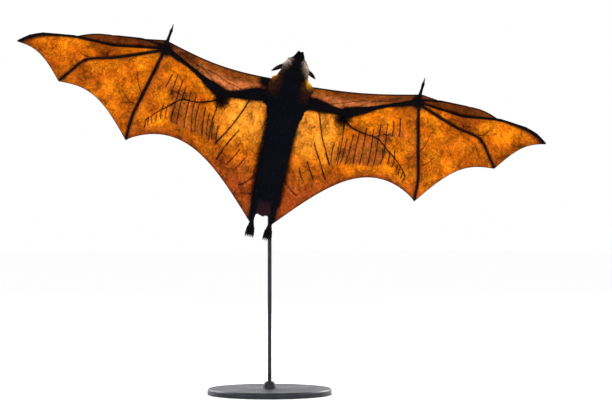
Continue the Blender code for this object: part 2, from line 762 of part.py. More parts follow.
def main():
    for old in list(bpy.data.objects):
        bpy.data.objects.remove(old, do_unlink=True)

    fur = material("dark_fur", (0.035, 0.025, 0.022), 0.9)
    pale_fur = material("pale_fur", (0.38, 0.33, 0.26), 0.9)
    golden_fur = material("golden_fur", (0.62, 0.33, 0.03), 0.9)
    wing_skin = material("wing_skin", (0.62, 0.26, 0.03), 0.55)
    bare_skin = material("bare_skin", (0.03, 0.022, 0.02), 0.6)
    claw = material("claw_horn", (0.05, 0.045, 0.04), 0.3)
    eye_finish = material("eye_brown", (0.06, 0.02, 0.008), 0.1)
    steel = material("blackened_steel", (0.03, 0.03, 0.032), 0.45, 0.8)

    bat = bpy.data.objects.new("bat_frame", None)
    bpy.context.scene.collection.objects.link(bat)
    turn = Matrix.Rotation(math.radians(LEAN_DEG), 4, "Y") @ Matrix.Rotation(math.radians(BANK_DEG), 4, "Z")
    bat.matrix_world = Matrix.Translation(CENTRE * MM) @ turn

    rod = build_stand(steel)
    trunk, neck, head = build_body(fur, bat)
    neck.data.materials[0] = golden_fur
    head.data.materials[0] = pale_fur
    combine(trunk, grown_copy(rod), "DIFFERENCE")
    build_face(head, bare_skin, eye_finish, bat)

    body = {"trunk_cutter": grown_copy(trunk), "neck_cutter": grown_copy(neck)}
    web_cutters = [body["trunk_cutter"]]
    for side_name in SIDES:
        parts = dict(body)
        arm = build_arm(side_name, parts, fur, bat)
        thumb = build_thumb(side_name, arm[2], parts, bare_skin, claw, bat)
        digits = build_digits(side_name, arm, parts, bare_skin, bat)
        leg = build_leg(side_name, parts, fur, bare_skin, bat)
        build_membranes(side_name, arm, thumb, digits, leg, parts, wing_skin, bat)
        web_cutters += [parts["thigh"], parts["shin"]]
    build_tail_membrane(web_cutters, fur, bat)


main()
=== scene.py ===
"""Looks of a life-size flying fox in full flight, belly to the front, on a plain display stand.

The animal is shaped in a frame of its own, in millimetres: +X is its left, +Y its back and +Z the
way to its head. One matrix leans and banks that frame over the stand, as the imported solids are.
"""

import math

import bmesh
import bpy
import numpy as np
from mathutils import Matrix, Vector
from mathutils.kdtree import KDTree


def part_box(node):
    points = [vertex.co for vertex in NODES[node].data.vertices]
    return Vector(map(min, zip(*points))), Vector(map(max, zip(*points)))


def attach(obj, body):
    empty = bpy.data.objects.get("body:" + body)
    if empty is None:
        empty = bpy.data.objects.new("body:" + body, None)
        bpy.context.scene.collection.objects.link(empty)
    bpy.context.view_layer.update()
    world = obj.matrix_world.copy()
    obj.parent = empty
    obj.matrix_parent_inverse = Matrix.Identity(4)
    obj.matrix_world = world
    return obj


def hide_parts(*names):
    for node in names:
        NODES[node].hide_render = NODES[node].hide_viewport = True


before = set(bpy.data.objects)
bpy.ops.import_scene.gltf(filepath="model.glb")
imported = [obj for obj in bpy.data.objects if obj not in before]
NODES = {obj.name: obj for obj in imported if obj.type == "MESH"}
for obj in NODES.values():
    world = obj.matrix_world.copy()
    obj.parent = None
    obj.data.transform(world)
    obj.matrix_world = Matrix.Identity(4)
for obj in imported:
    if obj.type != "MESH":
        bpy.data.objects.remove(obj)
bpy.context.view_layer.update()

MM = 0.001
TAU = 2 * math.pi

# How the animal hangs over the stand, whose base stands on the world's origin.
LEAN_DEG = 12.4
BANK_DEG = 10.0
CENTRE = Vector((22.3, -18.0, 528.4))
BAT_TO_WORLD = (
    Matrix.Translation(CENTRE * MM)
    @ Matrix.Rotation(math.radians(LEAN_DEG), 4, "Y")
    @ Matrix.Rotation(math.radians(BANK_DEG), 4, "Z")
    @ Matrix.Scale(MM, 4)
)
WORLD_TO_BAT = BAT_TO_WORLD.inverted()
SIDES = {"right": -1, "left": 1}

# Wing bones: length, lift toward the back in degrees, then the heading in degrees from straight
# outward, positive toward the head, on the right wing and on the left wing.
BONES = {
    "humerus": (102.5, 23.5, -12.5, -2.0),
    "forearm": (153.5, -14.0, 24.0, 20.5),
    "thumb_root": (15.5, -0.5, 88.5, 88.5),
    "thumb": (25.5, -11.0, 97.0, 88.0),
    "thumb_claw": (11.5, -5.0, 93.5, 92.0),
    "hand_2": (51.5, 15.5, 12.0, 16.0),
    "finger_2": (63.5, -13.0, -7.5, 0.5),
    "hand_3": (106.0, 13.0, -8.5, -3.5),
    "finger_3a": (79.5, 2.5, 0.5, 8.0),
    "finger_3b": (63.0, 14.5, -7.2, -3.7),
    "finger_3c": (26.0, -6.5, -22.0, -17.0),
    "tip_3": (27.5, -6.5, -38.0, -35.0),
    "hand_4": (105.5, 18.0, -22.5, -18.0),
    "finger_4a": (59.0, 3.0, -14.5, -10.0),
    "finger_4b": (68.5, 6.0, -53.0, -52.0),
    "hand_5": (108.0, -14.5, -74.0, -80.5),
    "finger_5a": (50.0, -7.5, -75.5, -78.0),
    "finger_5b": (45.5, -2.0, -88.5, -89.5),
}
HEADING_COLUMN = {"right": 2, "left": 3}
SHOULDER = Vector((31.0, 7.0, 68.5))
DIGITS = {
    2: (("hand_2", "finger_2"), 5.2),
    3: (("hand_3", "finger_3a", "finger_3b", "finger_3c", "tip_3"), 1.4),
    4: (("hand_4", "finger_4a", "finger_4b"), -2.6),
    5: (("hand_5", "finger_5a", "finger_5b"), -6.6),
}

# How far from each joint a finger starts to bend, and where its webs are fastened, counted in
# bones: on the thumb, on the second finger for the web's end and its fold, and on the third finger.
BEND_REACH = 16.0
WEB_ON_THUMB = 1.05
WEB_ON_DIGIT = (0.96, 0.4)
WEB_ON_THIRD = 1.95

# Membranes: thickness, and how far each one's free edge curves in from a straight line.
SKIN_THICKNESS = 0.8
LEADING_SAG = {"right": 11.0, "left": 6.0}
EDGE_BOW = {(2, 3): 4.0, (3, 4): 16.5, (4, 5): 29.0}
FLANK_BOW = {"right": 65.5, "left": 69.0}
FLANK_SKEW = 0.87
FINGER_BILLOW = 7.0
ARM_BILLOW = 16.0
FRONT_BILLOW = 5.0

# Head: its joint to the neck, how it is turned, and the places of its features, each given as
# left, up from the crown and forward along the head's own axis.
HEAD_JOINT = Vector((1.0, 1.5, 98.0))
HEAD_PITCH_DEG = 15.0
HEAD_YAW_DEG = 2.0
HEAD_ROLL_DEG = -7.0
NOSTRIL_PLACE = (3.9, 1.0, 65.6)
EYE_RADIUS = 6.0
EYE_PLACE = (12.0, 3.4, 45.5)
EAR_ROOT = Vector((19.5, 14.0, 30.0))
EAR_TIPS = {"right": Vector((45.0, 27.0, 7.0)), "left": Vector((44.5, 27.0, 16.0))}
EAR_ACROSS = Vector((0.2, 0.92, 0.33))
EAR_HALF_WIDTH = 7.0
EAR_CUP = 0.75
EAR_THICKNESS = 1.1

# Legs, for the left one.
HIP = Vector((15.0, 2.0, -100.0))
KNEE = Vector((19.0, -1.0, -141.0))
ANKLE = Vector((18.6, -1.0, -184.0))
TOES = Vector((18.3, -3.0, -203.5))
TOE_COUNT = 5
TOE_SPREAD = 15.0
TOE_LENGTH = 12.0
CLAW_LENGTH = 10.5
LEG_SWAY = 0.6
HEEL = {"right": Vector((-4.0, 0, -6.5)), "left": Vector((3.5, 0, -2.5))}

# Stand.
ROD_TOP = 436.0
ROD_RADIUS = 4.0
ROD_GAP = 0.3

# Places in the skin's list of finishes.
WING_SKIN = 0
DARK_SKIN = 1
VEIN_SKIN = 2
RIM_SKIN = 3
BARE_SKIN = 4


# --- Points and directions ------------------------------------------------------------------

def mirrored(point, side):
    """The left side's point, moved to the side asked for."""
    return Vector((point.x * side, point.y, point.z))


def direction(heading_deg, lift_deg, side):
    """Unit vector of a wing bone."""
    heading = math.radians(heading_deg)
    lift = math.radians(lift_deg)
    outward = side * math.cos(lift) * math.cos(heading)
    return Vector((outward, math.sin(lift), math.cos(lift) * math.sin(heading)))


def chain(start, names, side_name):
    """Joints of a chain of wing bones."""
    joints = [start]
    for bone in names:
        length, lift = BONES[bone][:2]
        heading = BONES[bone][HEADING_COLUMN[side_name]]
        joints.append(joints[-1] + direction(heading, lift, SIDES[side_name]) * length)
    return joints


def along(joints, position):
    """Point on a chain of bones: 1.5 is the middle of its second bone."""
    bone = min(int(position), len(joints) - 2)
    return joints[bone].lerp(joints[bone + 1], position - bone)


def eased_along(joints, position):
    """Point on a chain of bones that bends round its joints in short curves."""
    number = round(position)
    if not 0 < number < len(joints) - 1:
        return along(joints, position)
    before, joint, after = joints[number - 1:number + 2]
    lengths = ((joint - before).length, (after - joint).length)
    reach = min(BEND_REACH, 0.45 * lengths[0], 0.45 * lengths[1])
    gone = (position - number) * lengths[position > number]
    if abs(gone) >= reach:
        return along(joints, position)
    t = 0.5 + gone / (2 * reach)
    start = joint.lerp(before, reach / lengths[0])
    end = joint.lerp(after, reach / lengths[1])
    return start.lerp(joint, t).lerp(joint.lerp(end, t), t)


def eased_line(joints, last=None, steps=8):
    """The whole chain, or its part up to a place, as a line of points."""
    last = len(joints) - 1 if last is None else last
    count = math.ceil(last * steps)
    return [eased_along(joints, last * step / count) for step in range(count + 1)]


def walk(points, fractions):
    """Points at fractions of a broken line's whole length, as an array."""
    line = np.array(points, float)
    gone = np.concatenate([[0.0], np.cumsum(np.linalg.norm(np.diff(line, axis=0), axis=1))])
    at = np.asarray(fractions) * gone[-1]
    return np.stack([np.interp(at, gone, line[:, axis]) for axis in range(3)], axis=1)


def free_edge(start, end, bow, skew=1.0, steps=48):
    """Edge of a membrane, bowed toward the head. A skew under 1 moves its deepest place to the end."""
    u = np.linspace(0, 1, steps + 1)[:, None]
    line = np.array(start) * (1 - u) + np.array(end) * u
    line[:, 1:2] += 3.0 * np.sin(math.pi * u)
    line[:, 2:3] += bow * np.sin(math.pi * (1 - u) ** skew)
    return [Vector(point) for point in line]


def smooth_step(value, low, high):
    """0 below low, 1 above high, and an even curve between."""
    t = np.clip((value - low) / (high - low), 0, 1)
    return t * t * (3 - 2 * t)


def fade(value, low, high):
    """1 below low, 0 above high, and an even curve between."""
    return 1 - smooth_step(value, low, high)


def bell(value, middle, width):
    """1 at the middle, dying away on both sides."""
    return np.exp(-((value - middle) / width) ** 2)


def falloff(gap, full, reach):
    """1 up to a gap, dying away beyond it."""
    return np.exp(-np.maximum(gap - full, 0) / reach)


def gaps_to(points, place):
    """Distance of each point to one place."""
    return np.linalg.norm(points - np.array(place), axis=1)


def unit(vectors):
    return vectors / np.maximum(np.linalg.norm(vectors, axis=1), 1e-9)[:, None]


def distance_to_line(points, line):
    """Distance of each point to a broken line, and how far along the line its nearest place is."""
    line = np.array(line, float)
    best = np.full(len(points), np.inf)
    reach = np.zeros(len(points))
    gone = 0.0
    for start, end in zip(line, line[1:]):
        span = end - start
        length = np.linalg.norm(span)
        t = np.clip((points - start) @ span / max(length * length, 1e-9), 0, 1)
        gap = np.linalg.norm(points - start - t[:, None] * span, axis=1)
        nearer = gap < best
        reach = np.where(nearer, gone + t * length, reach)
        best = np.minimum(best, gap)
        gone += length
    return best, reach / gone


def head_axes():
    """The head's own directions: to its left, up from its crown, and along to the nose."""
    turn = Matrix.Rotation(math.radians(HEAD_YAW_DEG), 3, "Y")
    turn = turn @ Matrix.Rotation(math.radians(HEAD_PITCH_DEG), 3, "X")
    turn = turn @ Matrix.Rotation(math.radians(HEAD_ROLL_DEG), 3, "Z")
    return turn


HEAD_TURN = head_axes()


def head_point(place):
    """A place given as left, up and forward of the nape joint, in the bat's frame."""
    return HEAD_JOINT + HEAD_TURN @ Vector(place)


def in_head(points):
    """Left, up and forward of each point, seen from the head."""
    return (points - np.array(HEAD_JOINT)) @ np.array(HEAD_TURN)


def eye_centre(side):
    across, up, forward = EYE_PLACE
    return head_point((across * side, up, forward))


def eye_gaps(points):
    """Distance of each point to the nearer eye's centre."""
    return np.min([gaps_to(points, eye_centre(side)) for side in SIDES.values()], axis=0)


def skeleton(side_name):
    """Every joint of one side that skin and coat are measured from."""
    side = SIDES[side_name]
    shoulder, elbow = chain(mirrored(SHOULDER, side), ("humerus",), side_name)
    wrist = chain(elbow, ("forearm",), side_name)[-1]
    across = Vector((0, -1, 0)).cross((wrist - elbow).normalized()).normalized() * side
    digits = {}
    for number, (bones, offset) in DIGITS.items():
        joints = chain(wrist, bones, side_name)
        joints[0] = wrist + across * offset
        digits[number] = joints
    hip, knee, ankle, toes = (mirrored(point, side) for point in (HIP, KNEE, ANKLE, TOES))
    knee.x += LEG_SWAY / 2
    ankle.x += LEG_SWAY
    toes.x += LEG_SWAY
    return {
        "arm": [shoulder, elbow, wrist],
        "thumb": chain(wrist, ("thumb_root", "thumb", "thumb_claw"), side_name),
        "digits": digits,
        "leg": [hip, knee, ankle, toes],
        "heel": ankle + HEEL[side_name],
    }


BONES_OF = {side_name: skeleton(side_name) for side_name in SIDES}


# --- Meshes and objects -----------------------------------------------------------------------

def positions(mesh):
    """The vertices' places, as an array. It takes a mesh or a bmesh."""
    if isinstance(mesh, bmesh.types.BMesh):
        return np.array([vert.co[:] for vert in mesh.verts])
    flat = np.empty(len(mesh.vertices) * 3)
    mesh.vertices.foreach_get("co", flat)
    return flat.reshape(-1, 3)


def vertex_normals(mesh):
    return np.array([vert.normal[:] for vert in mesh.verts])


def place_vertices(mesh, places):
    """Put a bmesh's vertices where an array says."""
    for vert, place in zip(mesh.verts, places.tolist()):
        vert.co = place


def finish_faces(mesh, finish):
    """Smooth shading, and one of the skin's finishes, on every face."""
    for face in mesh.faces:
        face.material_index = finish
        face.smooth = True


def link(name, data):
    piece = bpy.data.objects.new(name, data)
    bpy.context.scene.collection.objects.link(piece)
    return piece


def make_object(name, mesh):
    """Turn a bmesh into an object of that name."""
    data = bpy.data.meshes.new(name)
    mesh.to_mesh(data)
    mesh.free()
    return link(name, data)


def closed_object(name, mesh):
    """Turn a closed bmesh into an object, with its faces outwards."""
    bmesh.ops.recalc_face_normals(mesh, faces=mesh.faces)
    return make_object(name, mesh)


def baked(piece):
    """A piece's mesh with its modifiers in it."""
    bpy.context.view_layer.update()
    data = bpy.data.meshes.new_from_object(piece.evaluated_get(bpy.context.evaluated_depsgraph_get()))
    piece.modifiers.clear()
    old = piece.data
    piece.data = data
    bpy.data.meshes.remove(old)
    return piece


def discard(piece):
    data = piece.data
    bpy.data.objects.remove(piece)
    bpy.data.meshes.remove(data)


def loft(mesh, rings, finish=0):
    """Join rings of points into one closed skin: round end faces, drawn out ring by ring."""
    count = len(rings[0])
    rows = [[mesh.verts.new(point) for point in ring] for ring in rings]
    faces = []
    for lower, upper in zip(rows, rows[1:]):
        for i in range(count):
            j = (i + 1) % count
            faces.append(mesh.faces.new((lower[i], lower[j], upper[j], upper[i])))
    faces.append(mesh.faces.new(rows[0][::-1]))
    faces.append(mesh.faces.new(rows[-1]))
    for face in faces:
        face.material_index = finish
        face.smooth = True


def smooth_line(points, steps):
    """Even curve through a few points, for a limb, a vein or a rim."""
    line = np.array(points, float)
    padded = np.vstack([2 * line[0] - line[1], line, 2 * line[-1] - line[-2]])
    out = []
    spans = len(line) - 1
    for step in range(steps + 1):
        place = min(step / steps * spans, spans - 1e-9)
        i = int(place)
        t = place - i
        a, b, c, d = padded[i:i + 4]
        out.append(0.5 * (2 * b + (c - a) * t + (2 * a - 5 * b + 4 * c - d) * t ** 2
                          + (3 * b - a - 3 * c + d) * t ** 3))
    return np.array(out)


def ring_rows(line, radii, sides, flat=1.0, face_to=None):
    """Rings along a line. Where flat is under 1 they are ovals, thin along face_to."""
    line = np.asarray(line, float)
    ends = np.vstack([2 * line[0] - line[1], line, 2 * line[-1] - line[-2]])
    tangents = ends[2:] - ends[:-2]
    tangents /= np.linalg.norm(tangents, axis=1)[:, None]
    normal = np.array(face_to if face_to is not None else Vector(tangents[0]).orthogonal())
    angles = TAU * np.arange(sides) / sides
    rings = []
    for point, tangent, radius in zip(line, tangents, radii):
        normal = normal - tangent * (normal @ tangent)
        normal = normal / np.linalg.norm(normal)
        side = np.cross(tangent, normal)
        rings.append([
            point + (normal * math.cos(angle) * flat + side * math.sin(angle)) * radius
            for angle in angles
        ])
    return rings


def tube(name, line, radii, sides, finish=0, flat=1.0, face_to=None):
    """One limb, vein or rim as an object of its own, in the bat's frame."""
    mesh = bmesh.new()
    loft(mesh, ring_rows(line, radii, sides, flat, face_to), finish)
    return closed_object(name, mesh)


def swollen(name, stations, steps, sides, flat=1.0):
    """Bare limb that swells and narrows by stations, each a point and a radius.

    Where flat is under 1 it is an oval, thin from front to back.
    """
    points, radii = zip(*stations)
    at = np.linspace(0, len(radii) - 1, steps + 1)
    girth = np.interp(at, range(len(radii)), radii)
    face_to = (0, 1, 0) if flat < 1 else None
    return tube(name, smooth_line(points, steps), girth, sides, BARE_SKIN, flat, face_to)


# --- Flesh ------------------------------------------------------------------------------------

FLESH_VOXEL = 2.5
SWELL = 0.6
ROUNDS_OF_EVENING = 4
ROUNDS_ON_TRUNK = 18
ROUNDS_AT_LAST = 3
FLESH_NODES = ["trunk", "neck", "head", "tail_membrane"] + [
    f"{part}_{side_name}"
    for part in ("upper_arm", "forearm", "thigh", "shin")
    for side_name in SIDES
]


def rod_line():
    """The rod's axis in the bat's frame, from well below the trunk to the rod's top."""
    return [WORLD_TO_BAT @ (Vector((0, 0, height)) * MM) for height in (ROD_TOP - 80.0, ROD_TOP + 1.0)]


def coat_depth(points):
    """How far the skin lies inside the tips of the coat, in mm."""
    forward = in_head(points)[:, 2]
    x, z = np.abs(points[:, 0]), points[:, 2]
    depth = 6.0 + 2.0 * smooth_step(z, 30, 75)
    depth = depth - 4.2 * smooth_step(z, 74, 88) * smooth_step(x, 16, 28)
    face = 4.6 - 2.4 * smooth_step(forward, 20, 44) - 1.9 * smooth_step(forward, 46, 60)
    face = face - (face - 0.7) * fade(eye_gaps(points), 7, 12)
    on_head = smooth_step(forward, 4, 18)
    depth = depth * (1 - on_head) + face * on_head
    for joints in BONES_OF.values():
        shoulder, elbow, wrist = joints["arm"]
        near, reach = distance_to_line(points, [shoulder, elbow])
        arm = 4.0 - 1.2 * smooth_step(reach, 0.4, 1.0)
        share = smooth_step(reach, 0.05, 0.35) * (near < 16)
        depth = depth * (1 - share) + arm * share
        near, reach = distance_to_line(points, [elbow, wrist])
        arm = 2.8 - 2.4 * smooth_step(reach, 0.1, 0.62)
        depth = np.where((near < 14) & (x > 60), arm, depth)
        near, reach = distance_to_line(points, joints["leg"][:3])
        leg = 3.0 - 2.3 * smooth_step(reach, 0.3, 0.95)
        share = smooth_step(-z, 112, 140) * (near < 12)
        depth = depth * (1 - share) + leg * share
    web = smooth_step(-z, 120, 140) * (x < 12)
    depth = depth * (1 - web) + web
    near, _reach = distance_to_line(points, rod_line())
    return depth * smooth_step(near, 5, 18)


def relax(mesh, verts, rounds, factor=0.5):
    for _round in range(rounds):
        bmesh.ops.smooth_vert(mesh, verts=verts, factor=factor, use_axis_x=True, use_axis_y=True,
                              use_axis_z=True)


def flesh():
    """Trunk, head, arms and legs as one smooth body, drawn in from the solids by the coat's depth."""
    whole = bmesh.new()
    for name in FLESH_NODES:
        part = bmesh.new()
        part.from_mesh(NODES[name].data)
        bmesh.ops.transform(part, matrix=WORLD_TO_BAT, verts=part.verts)
        bmesh.ops.remove_doubles(part, verts=part.verts, dist=0.01)
        part.normal_update()
        place_vertices(part, positions(part) + vertex_normals(part) * SWELL)
        data = bpy.data.meshes.new(name)
        part.to_mesh(data)
        part.free()
        whole.from_mesh(data)
        bpy.data.meshes.remove(data)
    low, high = rod_line()
    plug = [low.lerp(high, fraction) for fraction in (0.25, 0.6, 1.0)]
    loft(whole, ring_rows(plug, (ROD_RADIUS + 1.6,) * 3, 12))
    body = make_object("skin", whole)
    remesh = body.modifiers.new("even", "REMESH")
    remesh.mode = "VOXEL"
    remesh.voxel_size = FLESH_VOXEL
    baked(body)

    mesh = bmesh.new()
    mesh.from_mesh(body.data)
    finish_faces(mesh, DARK_SKIN)
    relax(mesh, mesh.verts, ROUNDS_OF_EVENING)
    places = positions(mesh)
    broad = (np.abs(places[:, 0]) < 50) & (places[:, 2] > -110) & (in_head(places)[:, 2] < 34)
    relax(mesh, [vert for vert, inside in zip(mesh.verts, broad) if inside], ROUNDS_ON_TRUNK)
    mesh.normal_update()
    places = positions(mesh)
    depth = coat_depth(places) + SWELL * 0.6
    place_vertices(mesh, places - vertex_normals(mesh) * depth[:, None])
    relax(mesh, mesh.verts, ROUNDS_AT_LAST)
    mesh.to_mesh(body.data)
    mesh.free()
    return body


# --- Wings ------------------------------------------------------------------------------------

MEMBRANES = {}
FLANK_REACH = 25.0


def crowded(count, width, spacing):
    """Fractions from 0 to 1, closer together at both ends where the width leaves room for it."""
    even = np.linspace(0, 1, count + 1)
    pull = np.clip(1 - spacing * count / max(width, 1e-6), 0.0, 0.85)
    return even - pull * np.sin(TAU * even) / TAU


def patch(near, far, start, end, columns, rows, billow, ripple=0.5):
    """Points of a Coons patch between four edges, billowed toward the back, a row for each v.

    near and far run side by side; start joins their first ends and end their last ones. Both
    ways the lines crowd together toward the edges, where the bones are.
    """
    length = np.linalg.norm(walk(near, [1])[0] - walk(near, [0])[0])
    width = np.linalg.norm(walk(far, [0.5])[0] - walk(near, [0.5])[0])
    u = crowded(columns, length, 2.0)
    v = crowded(rows, width, 0.9)
    near_line, far_line = walk(near, u), walk(far, u)
    start_line, end_line = walk(start, v), walk(end, v)
    a, b, c, d = near_line[0], near_line[-1], far_line[0], far_line[-1]
    lines = (u, v)
    u, v = u[None, :, None], v[:, None, None]
    grid = near_line[None] * (1 - v) + far_line[None] * v
    grid = grid + start_line[:, None] * (1 - u) + end_line[:, None] * u
    grid = grid - (a * (1 - u) + b * u) * (1 - v) - (c * (1 - u) + d * u) * v
    shape = np.sin(math.pi * u) * np.sin(math.pi * v)
    folds = np.sin(u * 61 + 3 * np.sin(v * 9)) + np.sin(v * 37 + u * 23) + np.sin(u * 17 - v * 29)
    grid[..., 1:2] += billow * shape + ripple * folds * np.minimum(4 * shape, 1.0)
    return grid, lines


def on_patch(made, path, steps):
    """Smooth line on a membrane through places given as fractions along and across it."""
    grid, (u_lines, v_lines) = made
    line = []
    for u, v in smooth_line(path, steps)[:, :2]:
        column = np.interp(u, u_lines, np.arange(len(u_lines)))
        row = np.interp(v, v_lines, np.arange(len(v_lines)))
        i, j = min(int(row), grid.shape[0] - 2), min(int(column), grid.shape[1] - 2)
        a, b = row - i, column - j
        upper = grid[i, j] * (1 - b) + grid[i, j + 1] * b
        lower = grid[i + 1, j] * (1 - b) + grid[i + 1, j + 1] * b
        line.append(upper * (1 - a) + lower * a)
    return np.array(line)


def slab(name, grid, thickness):
    """Closed skin of even thickness on a grid of points, in the bat's frame."""
    rows, columns = grid.shape[:2]
    mesh = bmesh.new()
    bmesh.ops.create_grid(mesh, x_segments=columns - 1, y_segments=rows - 1, size=1.0)
    place_vertices(mesh, grid.reshape(-1, 3))
    bmesh.ops.remove_doubles(mesh, verts=mesh.verts, dist=1e-3)
    piece = make_object(name, mesh)
    piece.data.shade_smooth()
    solid = piece.modifiers.new("thickness", "SOLIDIFY")
    solid.thickness = thickness
    solid.offset = 0.0
    return baked(piece)


def membranes_of(side_name):
    """Grid of each membrane of one wing, and each wing's free edges."""
    side = SIDES[side_name]
    joints = BONES_OF[side_name]
    shoulder, elbow, wrist = joints["arm"]
    digits, thumb = joints["digits"], joints["thumb"]
    nape = mirrored(Vector((30.0, 6.0, 98.0)), side)
    armpit_front = mirrored(Vector((30.0, 6.0, 70.0)), side)
    leading = free_edge(nape, thumb[1], -LEADING_SAG[side_name])
    grids = {
        "propatagium": patch(leading, [armpit_front, elbow, wrist], [nape, armpit_front],
                             [thumb[1], wrist], 60, 12, FRONT_BILLOW, 0.3),
    }
    on_thumb = along(thumb, WEB_ON_THUMB)
    web_end, web_turn = [eased_along(digits[2], place) for place in WEB_ON_DIGIT]
    grids["thumb_web"] = patch([on_thumb, web_end], [wrist, digits[2][0], web_turn],
                               [on_thumb, wrist], [web_end, web_turn], 20, 8, 1.0, 0.0)
    rims = [leading, [on_thumb, web_end]]
    fingers = {number: eased_line(chain_joints) for number, chain_joints in digits.items()}
    for (first, second), bow in EDGE_BOW.items():
        ahead = fingers[first]
        behind = eased_line(digits[3], WEB_ON_THIRD) if first == 2 else fingers[second]
        rim = free_edge(ahead[-1], behind[-1], bow)
        rows = 14 if first == 2 else 26
        ripple = 0.2 if first == 2 else 0.45
        grids[f"membrane_{first}_{second}"] = patch(ahead, behind, [ahead[0], behind[0]], rim, 56,
                                                    rows, FINGER_BILLOW, ripple)
        rims.append(rim)
    armpit = mirrored(Vector((22.0, 8.0, 66.0)), side)
    waist = mirrored(Vector((20.0, 8.0, -60.0)), side)
    hip_side = mirrored(Vector((19.0, 4.0, -120.0)), side)
    flank = [armpit, waist, hip_side, joints["leg"][1], joints["heel"]]
    rim = free_edge(joints["heel"], digits[5][-1], FLANK_BOW[side_name], FLANK_SKEW)
    grids["plagiopatagium"] = patch([armpit, shoulder, elbow, wrist, digits[5][0]], rim, flank,
                                    fingers[5], 76, 50, ARM_BILLOW)
    rims.append(rim)
    return grids, rims


# Veins of the big rear membrane: radius at both ends, and places along the arm and across
# toward the rim. Those of the other membranes share two radii.
REAR_VEINS = (
    (2.1, 1.5, ((0.19, 0.03), (0.28, 0.31), (0.34, 0.50), (0.40, 0.69))),
    (1.5, 1.2, ((0.23, 0.38), (0.31, 0.60), (0.38, 0.88))),
    (1.2, 1.0, ((0.20, 0.56), (0.25, 0.70), (0.29, 0.82))),
    (1.2, 1.0, ((0.04, 0.66), (0.10, 0.77), (0.17, 0.87))),
    (1.7, 1.2, ((0.44, 0.12), (0.53, 0.27), (0.62, 0.38), (0.71, 0.46), (0.77, 0.60), (0.82, 0.70),
                (0.90, 0.84))),
    (1.3, 1.0, ((0.68, 0.43), (0.74, 0.40), (0.79, 0.40))),
    (1.5, 1.1, ((0.44, 0.12), (0.455, 0.40), (0.455, 0.73))),
    (1.1, 0.9, ((0.15, 0.60), (0.175, 0.68), (0.21, 0.76))),
)
FINGER_VEINS = (
    ((0.51, 1.00), (0.50, 0.85), (0.46, 0.70), (0.42, 0.60)),
    ((0.66, 0.94), (0.70, 0.84), (0.71, 0.70)),
    ((0.24, 0.02), (0.31, 0.16), (0.40, 0.24)),
)
FRONT_VEINS = (
    ((0.20, 0.96), (0.34, 0.60), (0.52, 0.42), (0.78, 0.55)),
    ((0.46, 0.97), (0.60, 0.55), (0.86, 0.30)),
)
THIN_VEIN = (0.95, 0.75)
STRAP_COUNT = 11
OUTER_STRAPS = (0.745, 0.785, 0.82)
RIM_STRAPS = (0.84, 0.86, 0.88, 0.90)
STRAP_FLATNESS = 0.6
VEIN_SIDES = 6


def strap_reach(share):
    """Where a muscle strap starts and ends across the rear membrane, by its place in the row."""
    top = 0.42 - 0.24 * share
    low = 0.68 + 0.14 * smooth_step(share, 0.0, 0.65) - 0.42 * smooth_step(share, 0.72, 0.95)
    return top, low


def muscle_straps(rng):
    """Thin straps of muscle that hang behind the forearm, side by side, nearly along the fingers."""
    straps = []
    for number in range(STRAP_COUNT):
        share = number / (STRAP_COUNT - 1)
        u = 0.40 + 0.45 * share + rng.uniform(-0.004, 0.004)
        top, low = strap_reach(share)
        top += rng.uniform(-0.03, 0.03)
        low += rng.uniform(-0.03, 0.03)
        drift = -0.025 * math.sin(math.pi * share) + rng.uniform(-0.004, 0.004)
        straps.append(((u, top), (u + drift * 0.35, (top + low) / 2), (u + drift, low)))
    for u in OUTER_STRAPS:
        top, low = 0.60 + rng.uniform(-0.02, 0.02), 0.80 + rng.uniform(-0.02, 0.02)
        straps.append(((u, top), (u - 0.005, (top + low) / 2), (u - 0.015, low)))
    for u in RIM_STRAPS:
        top = 0.76 + 1.2 * (u - RIM_STRAPS[0])
        straps.append(((u, top), (u - 0.005, top + 0.045), (u - 0.01, top + 0.09)))
    return straps


def digit_radii(place, bones, hooked):
    """Radii of a finger at places along its bones: slender, with slightly swollen joints."""
    shaft = 2.6 - 0.6 * smooth_step(place, 0.4, bones)
    near_joint = np.abs(place - np.round(place))
    knuckle = 0.6 * bell(near_joint, 0, 0.075) * (place > 0.5) * (place < bones - 0.5)
    root = 0.4 * bell(place, 0, 0.3)
    end = 0.35 if hooked else 0.65
    tip = smooth_step(bones - place, 0.0, 0.16)
    slender = 0.75 if hooked else 1.0
    return slender * (shaft + knuckle + root) * (end + (1 - end) * tip)


